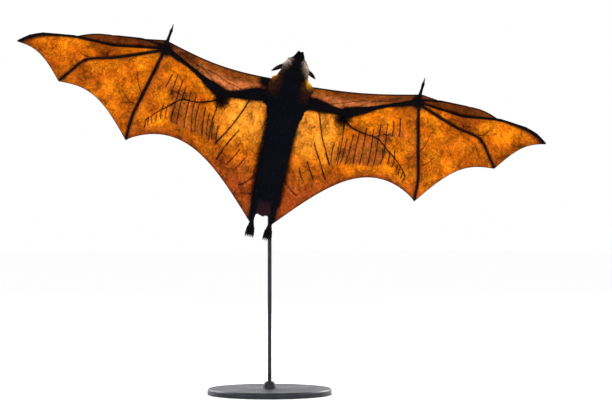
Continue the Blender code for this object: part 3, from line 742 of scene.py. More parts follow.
def wing_parts(side_name, rng):
    """Membranes, fingers, veins and rims of one wing, as closed solids ready to be joined."""
    joints = BONES_OF[side_name]
    digits = joints["digits"]
    grids, rims = membranes_of(side_name)
    MEMBRANES[side_name] = grids
    parts = [slab(f"{name}_{side_name}", made[0], SKIN_THICKNESS) for name, made in grids.items()]
    for number, chain_joints in digits.items():
        bones = len(chain_joints) - 1
        line = eased_line(chain_joints, steps=11)
        radii = digit_radii(np.linspace(0, bones, len(line)), bones, number == 2)
        parts.append(tube(f"finger_{number}", line, radii, 10, BARE_SKIN))
    # The first three rims are the wing's front edge, thick and dark.
    for number, rim in enumerate(rims):
        line = walk(rim, np.linspace(0, 1, 41))
        radius, finish = (1.2, VEIN_SKIN) if number < 3 else (0.7, RIM_SKIN)
        parts.append(tube("rim", line, np.full(len(line), radius), 6, finish))
    wrist = joints["arm"][2]
    heading = (wrist - joints["arm"][1]).normalized()
    stations = [(wrist + heading * step, radius) for step, radius in WRIST_STATIONS]
    parts.append(swollen("wrist", stations, 16, 14, 0.7))
    veins = [("plagiopatagium", path, thick, thin, 26, 1.0) for thick, thin, path in REAR_VEINS]
    veins += [("plagiopatagium", path, 1.6, 1.3, 14, STRAP_FLATNESS) for path in muscle_straps(rng)]
    for name in ("membrane_3_4", "membrane_4_5"):
        veins += [(name, path, *THIN_VEIN, 18, 1.0) for path in FINGER_VEINS]
    veins += [("propatagium", path, *THIN_VEIN, 18, 1.0) for path in FRONT_VEINS]
    for name, path, thick, thin, steps, flat in veins:
        shaken = [(u + rng.uniform(-0.004, 0.004), v + rng.uniform(-0.006, 0.006)) for u, v in path]
        line = on_patch(grids[name], np.clip(shaken, 0.0, 1.0), steps)
        radii = np.linspace(thick, thin, len(line))
        parts.append(tube("vein", line, radii, VEIN_SIDES, VEIN_SKIN, flat, (0, 1, 0)))
    return parts


def unite(body, parts):
    """Join closed solids to a body in one go, so that no wall is left inside."""
    tools = bpy.data.collections.new("parts")
    for part in parts:
        tools.objects.link(part)
    union = body.modifiers.new("join", "BOOLEAN")
    union.operation = "UNION"
    union.solver = "MANIFOLD"
    union.operand_type = "COLLECTION"
    union.collection = tools
    baked(body)
    bpy.data.collections.remove(tools)
    for part in parts:
        discard(part)


# --- Head, ears, thumbs and feet ----------------------------------------------------------------

LID_THICKNESS = 0.6
LID_OPENING_DEG = (46.0, 34.0)
EYE_OUT = Vector((0.74, 0.56, 0.32))
NOSTRIL_RADIUS = 2.6
MOUTH_CORNER = 37.0

# Stations of the free thumb, the wrist and the sole, each a place and a radius: the thumb's places
# are along its bones, the wrist's in mm along the forearm, and the sole's from ankle to toes.
THUMB_STATIONS = (
    (0.0, 5.0), (0.6, 4.4), (1.0, 3.6), (1.15, 3.3), (1.5, 2.6), (1.8, 3.0), (1.93, 3.1), (2.0, 2.4),
)
WRIST_STATIONS = ((-14, 4.6), (-6, 7.0), (1, 8.0), (7, 6.6), (12, 3.4))
SOLE_STATIONS = ((-0.35, 3.4), (0.02, 3.9), (0.3, 4.3), (0.65, 6.2), (0.95, 7.2), (1.1, 5.0))

# Each toe: places from its root over two joints to the claw, and its radius at each.
TOE_RADII = ((0, 2.0), (0.9, 2.1), (1.5, 1.95), (1.9, 2.05), (2.3, 1.95), (3, 1.3))


def refine(mesh, chosen):
    """Split the chosen vertices' faces once and even them out."""
    verts = {vert for vert, inside in zip(mesh.verts, chosen) if inside}
    edges = [edge for edge in mesh.edges if edge.verts[0] in verts and edge.verts[1] in verts]
    made = bmesh.ops.subdivide_edges(mesh, edges=edges, cuts=1, use_grid_fill=True)
    verts.update(item for item in made["geom_inner"] if isinstance(item, bmesh.types.BMVert))
    relax(mesh, [vert for vert in verts if vert.is_valid], 2)


def shape_lids(places, side):
    """Raise an almond-shaped rim of lids round an eye, with a fold behind it."""
    centre = np.array(eye_centre(side))
    axis = np.array(HEAD_TURN @ mirrored(EYE_OUT, side).normalized())
    along_eye = np.array(HEAD_TURN @ Vector((-0.25 * side, -0.15, 0.95)))
    along_eye -= axis * (along_eye @ axis)
    along_eye /= np.linalg.norm(along_eye)
    gap = gaps_to(places, centre)
    ray = (places - centre) / np.maximum(gap, 1e-6)[:, None]
    tilt = np.degrees(np.arccos(np.clip(ray @ axis, -1, 1)))
    spin = np.arctan2(ray @ np.cross(axis, along_eye), ray @ along_eye)
    long_way, short_way = LID_OPENING_DEG
    over = tilt - 1 / np.sqrt((np.cos(spin) / long_way) ** 2 + (np.sin(spin) / short_way) ** 2)
    lid = EYE_RADIUS + LID_THICKNESS * np.clip(1.25 - over / 60, 0.4, 1.3)
    lid = lid - 0.4 * bell(over, 17, 5) + 0.25 * bell(over, 7, 6)
    near = fade(gap, EYE_RADIUS + 2.5, EYE_RADIUS + 7)
    covered = np.where(over > 0, np.maximum(gap, lid), np.minimum(gap, EYE_RADIUS - 0.8))
    reach = np.where(tilt < 100, gap + (covered - gap) * near, gap)
    return centre + ray * reach[:, None]


def shape_face(mesh):
    """Cut the mouth, raise the lips, part the nose and shape brow, cheeks and lids."""
    mesh.normal_update()
    places = positions(mesh)
    side, up, forward = in_head(places).T
    line = -3.2 + 0.065 * (62 - forward) + 0.9 * np.sin((forward - MOUTH_CORNER) / 25 * math.pi)
    off = up - line
    lips = 0.55 * bell(np.abs(off), 1.7, 1.0) - 1.1 * bell(off, 0, 0.65)
    lips = lips * smooth_step(forward, MOUTH_CORNER, MOUTH_CORNER + 4)
    nose = -1.0 * bell(side, 0, 0.9) * smooth_step(forward, 58, 63) * (up > -3)
    bridge = -0.5 * bell(side, 0, 3.0) * smooth_step(forward, 44, 50) * (up > 3)
    brow = (1.4 - 0.8 * np.sign(side)) * bell(forward, 47, 5) * bell(np.abs(side), 17, 5)
    cheek = 0.9 * bell(forward, 33, 7) * bell(np.abs(side), 17, 6) * (up < 4)
    places = places + vertex_normals(mesh) * (lips + nose + bridge + brow + cheek)[:, None]
    for side in SIDES.values():
        places = shape_lids(places, side)
    place_vertices(mesh, places)


def shaped_flesh():
    """The body's flesh with a finer, modelled head."""
    body = flesh()
    mesh = bmesh.new()
    mesh.from_mesh(body.data)
    refine(mesh, in_head(positions(mesh))[:, 2] > 24)
    refine(mesh, eye_gaps(positions(mesh)) < EYE_RADIUS + 5)
    shape_face(mesh)
    bmesh.ops.triangulate(mesh, faces=[face for face in mesh.faces if len(face.verts) > 4])
    finish_faces(mesh, DARK_SKIN)
    mesh.to_mesh(body.data)
    mesh.free()
    return body


def nostril(side):
    """Short round nostril with its opening turned forward and out."""
    mesh = bmesh.new()
    bmesh.ops.create_uvsphere(mesh, u_segments=28, v_segments=20, radius=NOSTRIL_RADIUS)
    opening = (HEAD_TURN @ Vector((0.62 * side, -0.1, 0.78))).normalized()
    for vert in mesh.verts:
        vert.co *= 1 - 0.62 * float(fade(np.array(vert.co.angle(opening)), 0.28, 0.55))
    across, up, forward = NOSTRIL_PLACE
    place = head_point((across * side, up, forward - 0.9))
    bmesh.ops.translate(mesh, vec=place, verts=mesh.verts)
    finish_faces(mesh, BARE_SKIN)
    return make_object("nostril", mesh)


def ear_grid(side_name):
    """Pointed, cupped blade of an ear, open to the front, from inside the coat to its tip."""
    side = SIDES[side_name]
    root = head_point(mirrored(EAR_ROOT, side))
    length = head_point(mirrored(EAR_TIPS[side_name], side)) - root
    across = (head_point(mirrored(EAR_ACROSS, side)) - HEAD_JOINT).normalized()
    hollow = length.normalized().cross(across) * side
    grid = []
    for s in np.linspace(-0.15, 1, 26):
        reach = max(s, 0.0)
        half_width = EAR_HALF_WIDTH * (1 - reach ** 3.2) ** 0.7
        half_width *= 0.75 + 0.25 * math.sin(math.pi * reach)
        half_width = max(half_width * (1 + 0.3 * min(s, 0)), 0.5)
        line = []
        for c in np.linspace(-1, 1, 15):
            cup = hollow * (EAR_CUP * half_width * (c * c - 0.4))
            ribs = hollow * (0.22 * math.cos(5 * math.pi * c) * math.sin(math.pi * reach))
            line.append(root + length * float(s) + across * (half_width * float(c)) + cup + ribs)
        grid.append(line)
    return np.array([[point[:] for point in line] for line in grid])


def thumb_part(side_name):
    """Free thumb with a swollen joint before its claw."""
    thumb = BONES_OF[side_name]["thumb"]
    stations = [(along(thumb, place), radius) for place, radius in THUMB_STATIONS]
    return swollen("thumb", stations, 36, 14)


def toe_joints(side_name):
    """Each toe's root, knuckle and claw tip."""
    toes = BONES_OF[side_name]["leg"][3]
    joints = []
    for toe in range(TOE_COUNT):
        offset = toe / (TOE_COUNT - 1) - 0.5
        start = toes + Vector((offset * TOE_SPREAD * 0.75, 0, 4.0))
        knuckle = start + Vector((offset * 3.0, -1.0, -TOE_LENGTH))
        joints.append([start, knuckle, knuckle + Vector((offset * 1.5, -3.5, -CLAW_LENGTH + 1.0))])
    return joints


def foot_parts(side_name):
    """Sole and five toes with pads at their joints."""
    _hip, _knee, ankle, toes = BONES_OF[side_name]["leg"]
    stations = [(ankle.lerp(toes, share), radius) for share, radius in SOLE_STATIONS]
    parts = [swollen("sole", stations, 24, 20, 0.66)]
    for start, knuckle, tip in toe_joints(side_name):
        middle = start.lerp(knuckle, 0.5) + Vector((0, 0.5, 0))
        line = smooth_line([start, middle, knuckle, knuckle.lerp(tip, 0.22)], 18)
        radii = np.interp(np.linspace(0, 3, 19), *zip(*TOE_RADII))
        parts.append(tube("toe", line, radii, 12, BARE_SKIN))
    return parts


def make_skin(rng):
    """One closed skin from nose to wing tips and toes. Returns it, and a copy of the bare body."""
    body = shaped_flesh()
    ground = link("ground", body.data.copy())
    parts = []
    for side_name, side in SIDES.items():
        parts += wing_parts(side_name, rng)
        parts.append(nostril(side))
        ear = slab("ear", ear_grid(side_name), EAR_THICKNESS)
        ear.data.polygons.foreach_set("material_index", [BARE_SKIN] * len(ear.data.polygons))
        parts.append(ear)
        parts.append(thumb_part(side_name))
        parts += foot_parts(side_name)
    unite(body, parts)
    return body, ground


# --- Colours and markings ---------------------------------------------------------------------

# Half the width of the black throat, at places along the head.
THROAT_WIDTHS = (
    (-30, 25), (-10, 25), (8, 24), (18, 19.5), (30, 13.5), (40, 9), (50, 8), (58, 10),
)

# Shade beside the arm: place along it, how far the full shade reaches and how softly it ends.
ARM_SHADE = (
    (0.0, 10.0, 5.0), (0.2, 9.0, 4.0), (0.3, 5.0, 2.5), (0.36, 5.5, 2.5), (0.42, 9.5, 4.0),
    (0.54, 6.0, 3.0), (0.62, 1.5, 1.4), (0.8, 1.5, 1.4), (0.9, 4.0, 3.0),
)
SHADE_STEPS = 5
SKIN_UNDER_COAT = 0.6
BARE_SKIN_COLOUR = "#120D0D"
MAP_MARGIN = 0.01


def linear(colour):
    """A hex colour as seen on a screen, turned to the linear values that shaders take."""
    channels = [int(colour[i:i + 2], 16) / 255 for i in (1, 3, 5)]
    return [c / 12.92 if c <= 0.04045 else ((c + 0.055) / 1.055) ** 2.4 for c in channels]


def tone(colour):
    return np.array(linear(colour))


def blend(base, over, share):
    """Lay one colour over another, by a share for each point. Both may be hex colours."""
    base, over = (tone(colour) if isinstance(colour, str) else colour for colour in (base, over))
    return base * (1 - share[:, None]) + over * share[:, None]


def waver(points, size, turn=0.0):
    """Slow, even unevenness between -1 and 1, about one patch to each size in mm."""
    x, y, z = (points / size).T
    return (np.sin(x * 2.1 + 1.3 * np.sin(z * 1.7 + turn)) + np.sin(y * 2.3 + z * 1.1 + turn)
            + np.sin(z * 2.6 + 1.1 * np.sin(x * 1.9 + 2 * turn))) / 3


def coat_colour(points):
    """Colour of skin and coat at places on the body: both wear the same markings."""
    side, up, forward = in_head(points).T
    x, y, z = points.T
    rusty = (0.25 + 0.25 * waver(points, 22)) * (0.4 + 0.6 * smooth_step(y, 0, 10))
    colour = blend("#060B14", "#1A120F", rusty)
    colour = blend(colour, "#3C2026", 0.65 * smooth_step(-z, 132, 152) * (np.abs(x) < 14))

    # Tawny saddle over the shoulders, which leaves the arms black.
    arm = np.zeros(len(points))
    for joints in BONES_OF.values():
        near, _reach = distance_to_line(points, joints["arm"])
        arm = np.maximum(arm, (near < 17) * smooth_step(np.abs(x), 36, 46))
    saddle = smooth_step(y, 7, 14) * smooth_step(z, 34 + 7 * waver(points, 9), 52) * (1 - arm)
    saddle = saddle * fade(np.abs(x), 27, 37)
    colour = blend(colour, "#B9781C", saddle * 0.9)

    # Black throat, whose edge runs through brown into a golden neck.
    off_axis, _reach = distance_to_line(points, [head_point((0, 0, -30)), head_point((0, 0, 68))])
    by_head = fade(off_axis, 44, 52)
    throat = np.interp(forward, *zip(*THROAT_WIDTHS))
    edge = throat + 1.6 * waver(points, 6, 1.0)
    soft = np.interp(forward, [6, 18, 30, 44, 54], [5.0, 9.0, 13.0, 8.0, 3.0])
    aside = smooth_step(np.abs(side), edge - 1.5, edge + soft)
    aside = np.maximum(aside, smooth_step(up, 3, 12))
    halo = smooth_step(np.abs(side), edge - 11, edge) * smooth_step(forward, -26, -8)
    colour = blend(colour, "#44200F", 0.5 * halo * by_head * (1 - arm))
    end = np.interp(side, [-26, 26], [1.0, 3.0]) * fade(up, 8, 18) - 14 * smooth_step(up, 8, 18)
    golden = aside * by_head * smooth_step(forward, end + 4 * waver(points, 7), end + 9)
    inner = np.where(side < 0, 23.5, 17.0)
    inner_share = smooth_step(np.abs(side), inner, inner + 8)
    golden = golden * np.maximum(inner_share, smooth_step(up, 3, 12))
    colour = blend(colour, "#EE8606", golden)
    # Painted light: the gold brightens in random patches, and also toward the outer sides of the neck
    # and on the bat's left, as a painted glow of light shining through the fur from behind.
    patches_and_painted_glow = smooth_step(waver(points, 11, 2.0), -0.4, 0.5) + 0.7 * smooth_step(np.abs(side), 25, 31)
    patches_and_painted_glow = np.clip(patches_and_painted_glow + 0.35 * np.sign(side), 0, 1)
    colour = blend(colour, "#FFC01A", golden * 0.9 * patches_and_painted_glow)
    colour = blend(colour, "#4A2412", 0.8 * fade(gaps_to(points, head_point((-28, -10, -9))), 6, 15))

    # Pale cheeks and crown: dimmer low on the cheeks, pinkish by the muzzle.
    start = np.interp(side, [-30, 30], [14.0, 18.0])
    head = by_head * smooth_step(forward, start + 3 * waver(points, 5, 3.0), start + 7)
    pale = blend("#6A5A4C", "#A39A88", 0.5 + 0.5 * waver(points, 7, 0.5))
    # Painted light and shade: the left cheek is made lighter and the right one darker, and the back of
    # the cheeks darkens more on the right.
    pale = pale * (1 + 0.22 * np.clip(side / 20, -1, 1))[:, None]
    pale = pale * (1 - np.where(side < 0, 0.66, 0.5) * fade(forward, 24, 40))[:, None]
    pale = pale * (1 + 0.35 * waver(points, 3.2, 5.0))[:, None]
    pale = blend(pale, "#DCC2B6", smooth_step(forward, 36, 45) * 0.75)
    pale = blend(pale, "#4E453A", smooth_step(up, 6, 18) * 0.6)
    colour = blend(colour, pale, head * aside)

    # Black throat up to the chin, dark brow and streak on one side, black muzzle and eyelids.
    colour = blend(colour, "#0A0A0D", by_head * smooth_step(forward, 10, 19) * (1 - aside))
    brow = np.exp(-(((side + 15) / 3) ** 2 + ((forward - 52) / 3.5) ** 2))
    streak = np.exp(-(((side + 11.5) / 1.6) ** 2 + ((forward - 50) / 4) ** 2))
    colour = blend(colour, "#1C1416", np.clip(brow + streak, 0, 1) * 0.8 * head)
    colour = blend(colour, "#0A0909", by_head * smooth_step(forward, 51, 56.5))
    return blend(colour, "#24141C", fade(eye_gaps(points), 6.5, 9.0))


def arm_darkness(near, reach):
    """How dark the thin skin is beside the arm, by the gap to its bones and the place along them."""
    places, full, softness = zip(*ARM_SHADE)
    return falloff(near, np.interp(reach, places, full), np.interp(reach, places, softness))


def bone_shade(points):
    """How dark the thin skin is beside bones, neck and flank, from 0 to 1."""
    x, z = np.abs(points[:, 0]), points[:, 2]
    by_neck = np.where(points[:, 0] < 0, 33.0, 17.0) * smooth_step(z, 66, 85)
    shades = [falloff(x, FLANK_REACH + by_neck, 7)]
    for joints in BONES_OF.values():
        for number, chain_joints in joints["digits"].items():
            line = eased_line(chain_joints, steps=SHADE_STEPS)
            shades.append(0.78 * falloff(distance_to_line(points, line)[0], 2.4, 2.4))
            if number == 3:
                outer = line[2 * SHADE_STEPS:]
                shades.append(falloff(distance_to_line(points, outer)[0], 3.8, 4.0))
        _shoulder, elbow, wrist = joints["arm"]
        shades.append(arm_darkness(*distance_to_line(points, joints["arm"])))
        behind_elbow = np.array(elbow) + (0, 0, -11)
        shades.append(1.1 * bell(gaps_to(points, behind_elbow), 0, 15))
        shades.append(bell(np.maximum(gaps_to(points, wrist) - 8, 0), 0, 8.5))
        shades.append(falloff(distance_to_line(points, joints["thumb"][:2])[0], 3.5, 4.5))
    return np.max(shades, axis=0)


def wing_colour(points):
    """Colour of the thin skin, from where it lies on a wing."""
    x, z = np.abs(points[:, 0]), points[:, 2]
    name, u, v = wing_places(points)
    colour = blend("#BC5704", "#DA7C0C", 0.5 + 0.5 * waver(points, 17))
    colour = blend(colour, "#943E05", 0.6 * smooth_step(waver(points, 38, 4.0), 0.1, 0.8))

    # Big rear membrane: lighter by the body, redder low down, brown in the row of muscle straps.
    rear = name == "plagiopatagium"
    colour = blend(colour, "#E6912A", 0.75 * rear * smooth_step(z, -70, 10) * fade(x, 90, 150))
    low_body = rear * np.maximum(smooth_step(-z, 30, 120), 0.8 * smooth_step(v, 0.86, 1.0))
    colour = blend(colour, "#8E3A16", 0.85 * low_body)
    top, low = strap_reach(np.clip((u - 0.39) / 0.45, 0, 1))
    row = rear * smooth_step(u, 0.34, 0.42) * fade(u, 0.86, 0.93)
    row = row * smooth_step(v, top + 0.04, top + 0.2) * fade(v, low - 0.01, low + 0.05)
    colour = blend(colour, "#7A3A1C", 0.72 * row * (0.85 + 0.25 * np.sin(u * TAU * 31)))
    colour = blend(colour, "#7A3208", 0.7 * rear * smooth_step(v, 0.955, 0.985))
    colour = blend(colour, "#8A3F12", 0.5 * rear * smooth_step(u, 0.84, 0.97))

    # Front membranes: brown, pinkish between the arm and the neck.
    front = name == "propatagium"
    colour = blend(colour, "#783A12", 0.88 * front)
    colour = blend(colour, "#CC7440", 0.75 * (front * smooth_step(v, 0.2, 0.65) * fade(u, 0.5, 0.8)))
    colour = blend(colour, "#44200F", 0.75 * front * smooth_step(u, 0.6, 0.97))
    colour = blend(colour, "#3A1408", 0.8 * front * fade(v, 0.02, 0.09))
    colour = blend(colour, "#4E210C", 0.9 * np.isin(name, ("membrane_2_3", "thumb_web")))

    # Finger membranes: redder toward the rims and in a band across the outer one.
    outer = name == "membrane_3_4"
    hand = outer | (name == "membrane_4_5")
    colour = blend(colour, "#8C3C06", 0.5 * hand * smooth_step(v, 0.7, 1.0))
    colour = blend(colour, "#7A3406", 0.75 * outer * fade(v, 0.0, 0.22))
    middle = smooth_step(u, 0.30, 0.40) * fade(u, 0.55, 0.66)
    colour = blend(colour, "#743004", 0.85 * outer * middle)
    colour = blend(colour, "#A04A08", 0.5 * (hand & ~outer) * smooth_step(x, 300, 420))
    colour = blend(colour, "#7A3206", 0.7 * outer * smooth_step(u, 0.88, 0.98))

    dark = bone_shade(points)
    colour = blend(colour, "#5A260C", 0.8 * smooth_step(dark, 0.05, 0.55))
    return blend(colour, "#0C0808", smooth_step(dark, 0.35, 0.95))


def wing_places(points):
    """Name of the nearest membrane, and how far along and across it each point lies."""
    names, fractions, spots = [], [], []
    for grids in MEMBRANES.values():
        for name, (grid, (u, v)) in grids.items():
            flat = grid.reshape(-1, 3)
            spots.append(flat)
            names += [name] * len(flat)
            fractions.append(np.stack(np.meshgrid(u, v), axis=-1).reshape(-1, 2))
    spots, fractions, names = np.vstack(spots), np.vstack(fractions), np.array(names)
    tree = KDTree(len(spots))
    for index, spot in enumerate(spots):
        tree.insert(spot, index)
    tree.balance()
    found = np.array([tree.find(point)[1] for point in points])
    return names[found], *fractions[found].T


def set_attribute(mesh, name, values, kind="FLOAT_COLOR"):
    """Give each vertex a colour or a number."""
    made = mesh.attributes.new(name, kind, "POINT")
    if kind == "FLOAT_COLOR":
        values = np.hstack([values, np.ones((len(values), 1))])
        made.data.foreach_set("color", values.astype(np.float32).ravel())
    else:
        made.data.foreach_set("value", values.astype(np.float32))


def face_data(mesh):
    """Each corner's vertex, and each face's count of corners."""
    loops = np.zeros(len(mesh.loops), int)
    mesh.loops.foreach_get("vertex_index", loops)
    totals = np.zeros(len(mesh.polygons), int)
    mesh.polygons.foreach_get("loop_total", totals)
    return loops, totals


def mark_skin(skin):
    """Write the skin's colours, vertex by vertex."""
    mesh = skin.data
    points = positions(mesh)
    loops, totals = face_data(mesh)
    finish = np.zeros(len(mesh.polygons), int)
    mesh.polygons.foreach_get("material_index", finish)
    finish = np.repeat(finish, totals)
    thin = np.zeros(len(points), bool)
    bare = np.zeros(len(points), bool)
    thin[loops[finish == WING_SKIN]] = True
    bare[loops[finish == BARE_SKIN]] = True
    colour = coat_colour(points) * SKIN_UNDER_COAT
    colour[bare] = tone(BARE_SKIN_COLOUR)
    colour[thin] = wing_colour(points[thin])
    set_attribute(mesh, "tint", colour)


def lay_out_skin(skin):
    """Bake map of the skin: its belly side on the lower half, its back side on the upper half."""
    mesh = skin.data
    points = positions(mesh)
    low, high = points.min(axis=0), points.max(axis=0)
    scale = (1 - 2 * MAP_MARGIN) / (high[0] - low[0])
    loops, totals = face_data(mesh)
    normals = np.zeros(len(mesh.polygons) * 3)
    mesh.polygons.foreach_get("normal", normals)
    behind = np.repeat(normals.reshape(-1, 3)[:, 1] > 0, totals)
    u = (points[loops, 0] - low[0]) * scale + MAP_MARGIN
    v = (points[loops, 2] - low[2]) * scale + MAP_MARGIN + 0.5 * behind
    layer = mesh.uv_layers.new(name="OFBake")
    layer.data.foreach_set("uv", np.stack([u, v], axis=1).astype(np.float32).ravel())


# --- Finishes ---------------------------------------------------------------------------------

def add(material, kind, settings=None, stops=(), **links):
    """Add a node: its settings, a colour ramp's stops, then each input's value or what feeds it.

    A stop is a place with a grey level or a colour. An input may be called by its number, as i0.
    """
    node = material.node_tree.nodes.new(kind)
    for name, value in (settings or {}).items():
        setattr(node, name, value)
    for _stop in stops[2:]:
        node.color_ramp.elements.new(0.5)
    for element, (place, level) in zip(node.color_ramp.elements if stops else (), stops):
        element.position = place
        element.color = (*level, 1) if isinstance(level, list) else (level, level, level, 1)
    for name, value in links.items():
        socket = node.inputs[int(name[1:]) if name[1:].isdigit() else name.replace("_", " ")]
        if isinstance(value, bpy.types.NodeSocket):
            material.node_tree.links.new(value, socket)
        else:
            socket.default_value = value
    return node


def patterned(material, colour, pattern, stops, share=1.0):
    """A colour made darker and lighter by a pattern, by way of grey levels."""
    levels = add(material, "ShaderNodeValToRGB", stops=stops, Fac=pattern).outputs["Color"]
    settings = {"data_type": "RGBA", "blend_type": "MULTIPLY"}
    return add(material, "ShaderNodeMix", settings, i0=share, i6=colour, i7=levels).outputs[2]


def new_material(name):
    """An empty material, and the place in the piece that its patterns read."""
    made = bpy.data.materials.new(name)
    made.use_nodes = True
    made.node_tree.nodes.clear()
    return made, add(made, "ShaderNodeTexCoord").outputs["Object"]


def finished(material, colour, rough, relief=None, clear=0.0, **shine):
    """Close a material with its shader, which may have a relief and let a share of light through.

    A relief is a pattern, its strength and its depth in metres. Light passes the two walls of a
    thin piece, so each wall has the square root of the colour.
    """
    if relief:
        height, strength, depth = relief
        bump = add(material, "ShaderNodeBump", Height=height, Strength=strength, Distance=depth)
        shine["Normal"] = bump.outputs["Normal"]
    surface = add(material, "ShaderNodeBsdfPrincipled", Base_Color=colour, Roughness=rough,
                  **shine).outputs[0]
    if clear:
        wall = add(material, "ShaderNodeGamma", Color=colour, Gamma=0.5).outputs["Color"]
        through = add(material, "ShaderNodeBsdfTranslucent", Color=wall).outputs[0]
        surface = add(material, "ShaderNodeMixShader", i0=clear, i1=surface, i2=through).outputs[0]
    add(material, "ShaderNodeOutputMaterial", Surface=surface)
    return material


def per_mm(size):
    """Texture scale, on coordinates in metres, for a pattern that repeats each so many mm."""
    return 1000.0 / size


# Pupil, iris and the dark rim round it, by the share of the way round the eyeball.
IRIS_RINGS = (
    (0.0, linear("#020202")), (0.36, linear("#020202")), (0.41, linear("#3A1808")),
    (0.6, linear("#4E2408")), (0.72, linear("#1A0B06")), (1.0, linear("#100A0A")),
)


def wing_membrane():
    """Living wing skin, a few hundredths of a mm thick: it glows amber against the light, with
    slow blotches, a net of capillaries and fine wrinkles. The net is drawn wider than it is."""
    made, place = new_material("wing_membrane")
    edges = {"feature": "DISTANCE_TO_EDGE"}
    bend = add(made, "ShaderNodeTexNoise", Vector=place, Scale=per_mm(14), Detail=3.0)
    bent = add(made, "ShaderNodeVectorMath", {"operation": "MULTIPLY_ADD"}, i0=bend.outputs["Color"],
               i1=(0.012,) * 3, i2=place).outputs[0]
    blotch = add(made, "ShaderNodeTexNoise", Vector=place, Scale=per_mm(22), Detail=6.0,
                 Roughness=0.65).outputs["Fac"]
    mottle = add(made, "ShaderNodeTexNoise", Vector=bent, Scale=per_mm(4.5), Detail=3.0,
                 Roughness=0.6).outputs["Fac"]
    net = add(made, "ShaderNodeTexVoronoi", edges, Vector=bent, Scale=per_mm(13)).outputs["Distance"]
    fine = add(made, "ShaderNodeTexVoronoi", edges, Vector=bent, Scale=per_mm(4.2)).outputs["Distance"]
    speck = add(made, "ShaderNodeTexVoronoi", Vector=bent, Scale=per_mm(13)).outputs["Distance"]
    tint = add(made, "ShaderNodeAttribute", {"attribute_name": "tint"}).outputs["Color"]
    colour = patterned(made, tint, blotch, ((0.32, 0.5), (0.48, 0.94), (0.68, 1.42)))
    colour = patterned(made, colour, mottle, ((0.34, 0.52), (0.5, 0.97), (0.66, 1.38)))
    patchy = add(made, "ShaderNodeValToRGB", stops=((0.4, 1.0), (0.6, 0.25)), Fac=blotch)
    net_levels = ((0.0, 0.32), (0.06, 0.8), (0.14, 1.0))
    colour = patterned(made, colour, net, net_levels, patchy.outputs["Color"])
    colour = patterned(made, colour, fine, ((0.0, 0.66), (0.16, 1.03)))
    colour = patterned(made, colour, speck, ((0.05, 0.25), (0.1, 1.0)))
    relief = add(made, "ShaderNodeMath", {"operation": "ADD"}, i0=net, i1=fine).outputs[0]
    return finished(made, colour, 0.5, (relief, 0.5, 0.0004), 0.78, Specular_IOR_Level=0.1)


def dark_leather(name):
    """Bare or haired skin of body, fingers, feet, ears and nose: matt, creased and nearly black."""
    made, place = new_material(name)
    mottle = add(made, "ShaderNodeTexNoise", Vector=place, Scale=per_mm(3), Detail=4.0).outputs["Fac"]
    tint = add(made, "ShaderNodeAttribute", {"attribute_name": "tint"}).outputs["Color"]
    colour = patterned(made, tint, mottle, ((0.3, 0.7), (0.7, 1.3)))
    crease = add(made, "ShaderNodeTexVoronoi", Vector=place, Scale=per_mm(0.9)).outputs["Distance"]
    rough = add(made, "ShaderNodeValToRGB", stops=((0.3, 0.42), (0.7, 0.6)), Fac=mottle)
    return finished(made, colour, rough.outputs["Color"], (crease, 0.45, 0.0003),
                    Specular_IOR_Level=0.2)


def vein_skin(name, colour, clear):
    """Skin over a vein, a muscle strap or a rim: thicker, so it shows brown against the light."""
    made, place = new_material(name)
    patchy = add(made, "ShaderNodeTexNoise", Vector=place, Scale=per_mm(9), Detail=3.0).outputs["Fac"]
    stops = ((0.3, [c * 0.55 for c in linear(colour)]), (0.7, linear(colour)))
    tones = add(made, "ShaderNodeValToRGB", stops=stops, Fac=patchy).outputs["Color"]
    fine = add(made, "ShaderNodeTexNoise", Vector=place, Scale=per_mm(0.8), Detail=2.0).outputs["Fac"]
    return finished(made, tones, 0.5, (fine, 0.3, 0.0002), clear, Specular_IOR_Level=0.06)


def fur_finish():
    """Dense soft fur: matt locks, darker at the root than at the tip."""
    made, place = new_material("soft_fur")
    strand = add(made, "ShaderNodeTexNoise", Vector=place, Scale=per_mm(0.9), Detail=2.0)
    tint = add(made, "ShaderNodeAttribute", {"attribute_name": "tint"}).outputs["Color"]
    colour = patterned(made, tint, strand.outputs["Fac"], ((0.25, 0.72), (0.75, 1.3)))
    return finished(made, colour, 0.9, Specular_IOR_Level=0.06)


def claw_horn():
    """Horn of the claws: nearly black and polished, with long growth lines."""
    made, place = new_material("claw_horn")
    streak = add(made, "ShaderNodeTexNoise", Vector=place, Scale=per_mm(1.6), Detail=3.0).outputs["Fac"]
    stops = ((0.3, linear("#060505")), (0.7, linear("#141110")))
    colour = add(made, "ShaderNodeValToRGB", stops=stops, Fac=streak).outputs["Color"]
    return finished(made, colour, 0.25, (streak, 0.25, 0.0002), Specular_IOR_Level=0.06)


def eye_glass():
    """Wet red-brown iris round a wide black pupil, under a clear cornea."""
    made, place = new_material("wet_eye")
    ring = add(made, "ShaderNodeAttribute", {"attribute_name": "ring"}).outputs["Fac"]
    fibre = add(made, "ShaderNodeTexNoise", Vector=place, Scale=per_mm(0.9), Detail=3.0)
    colour = add(made, "ShaderNodeValToRGB", stops=IRIS_RINGS, Fac=ring).outputs["Color"]
    colour = patterned(made, colour, fibre.outputs["Fac"], ((0.3, 0.7), (0.7, 1.2)))
    return finished(made, colour, 0.1, Specular_IOR_Level=0.1)


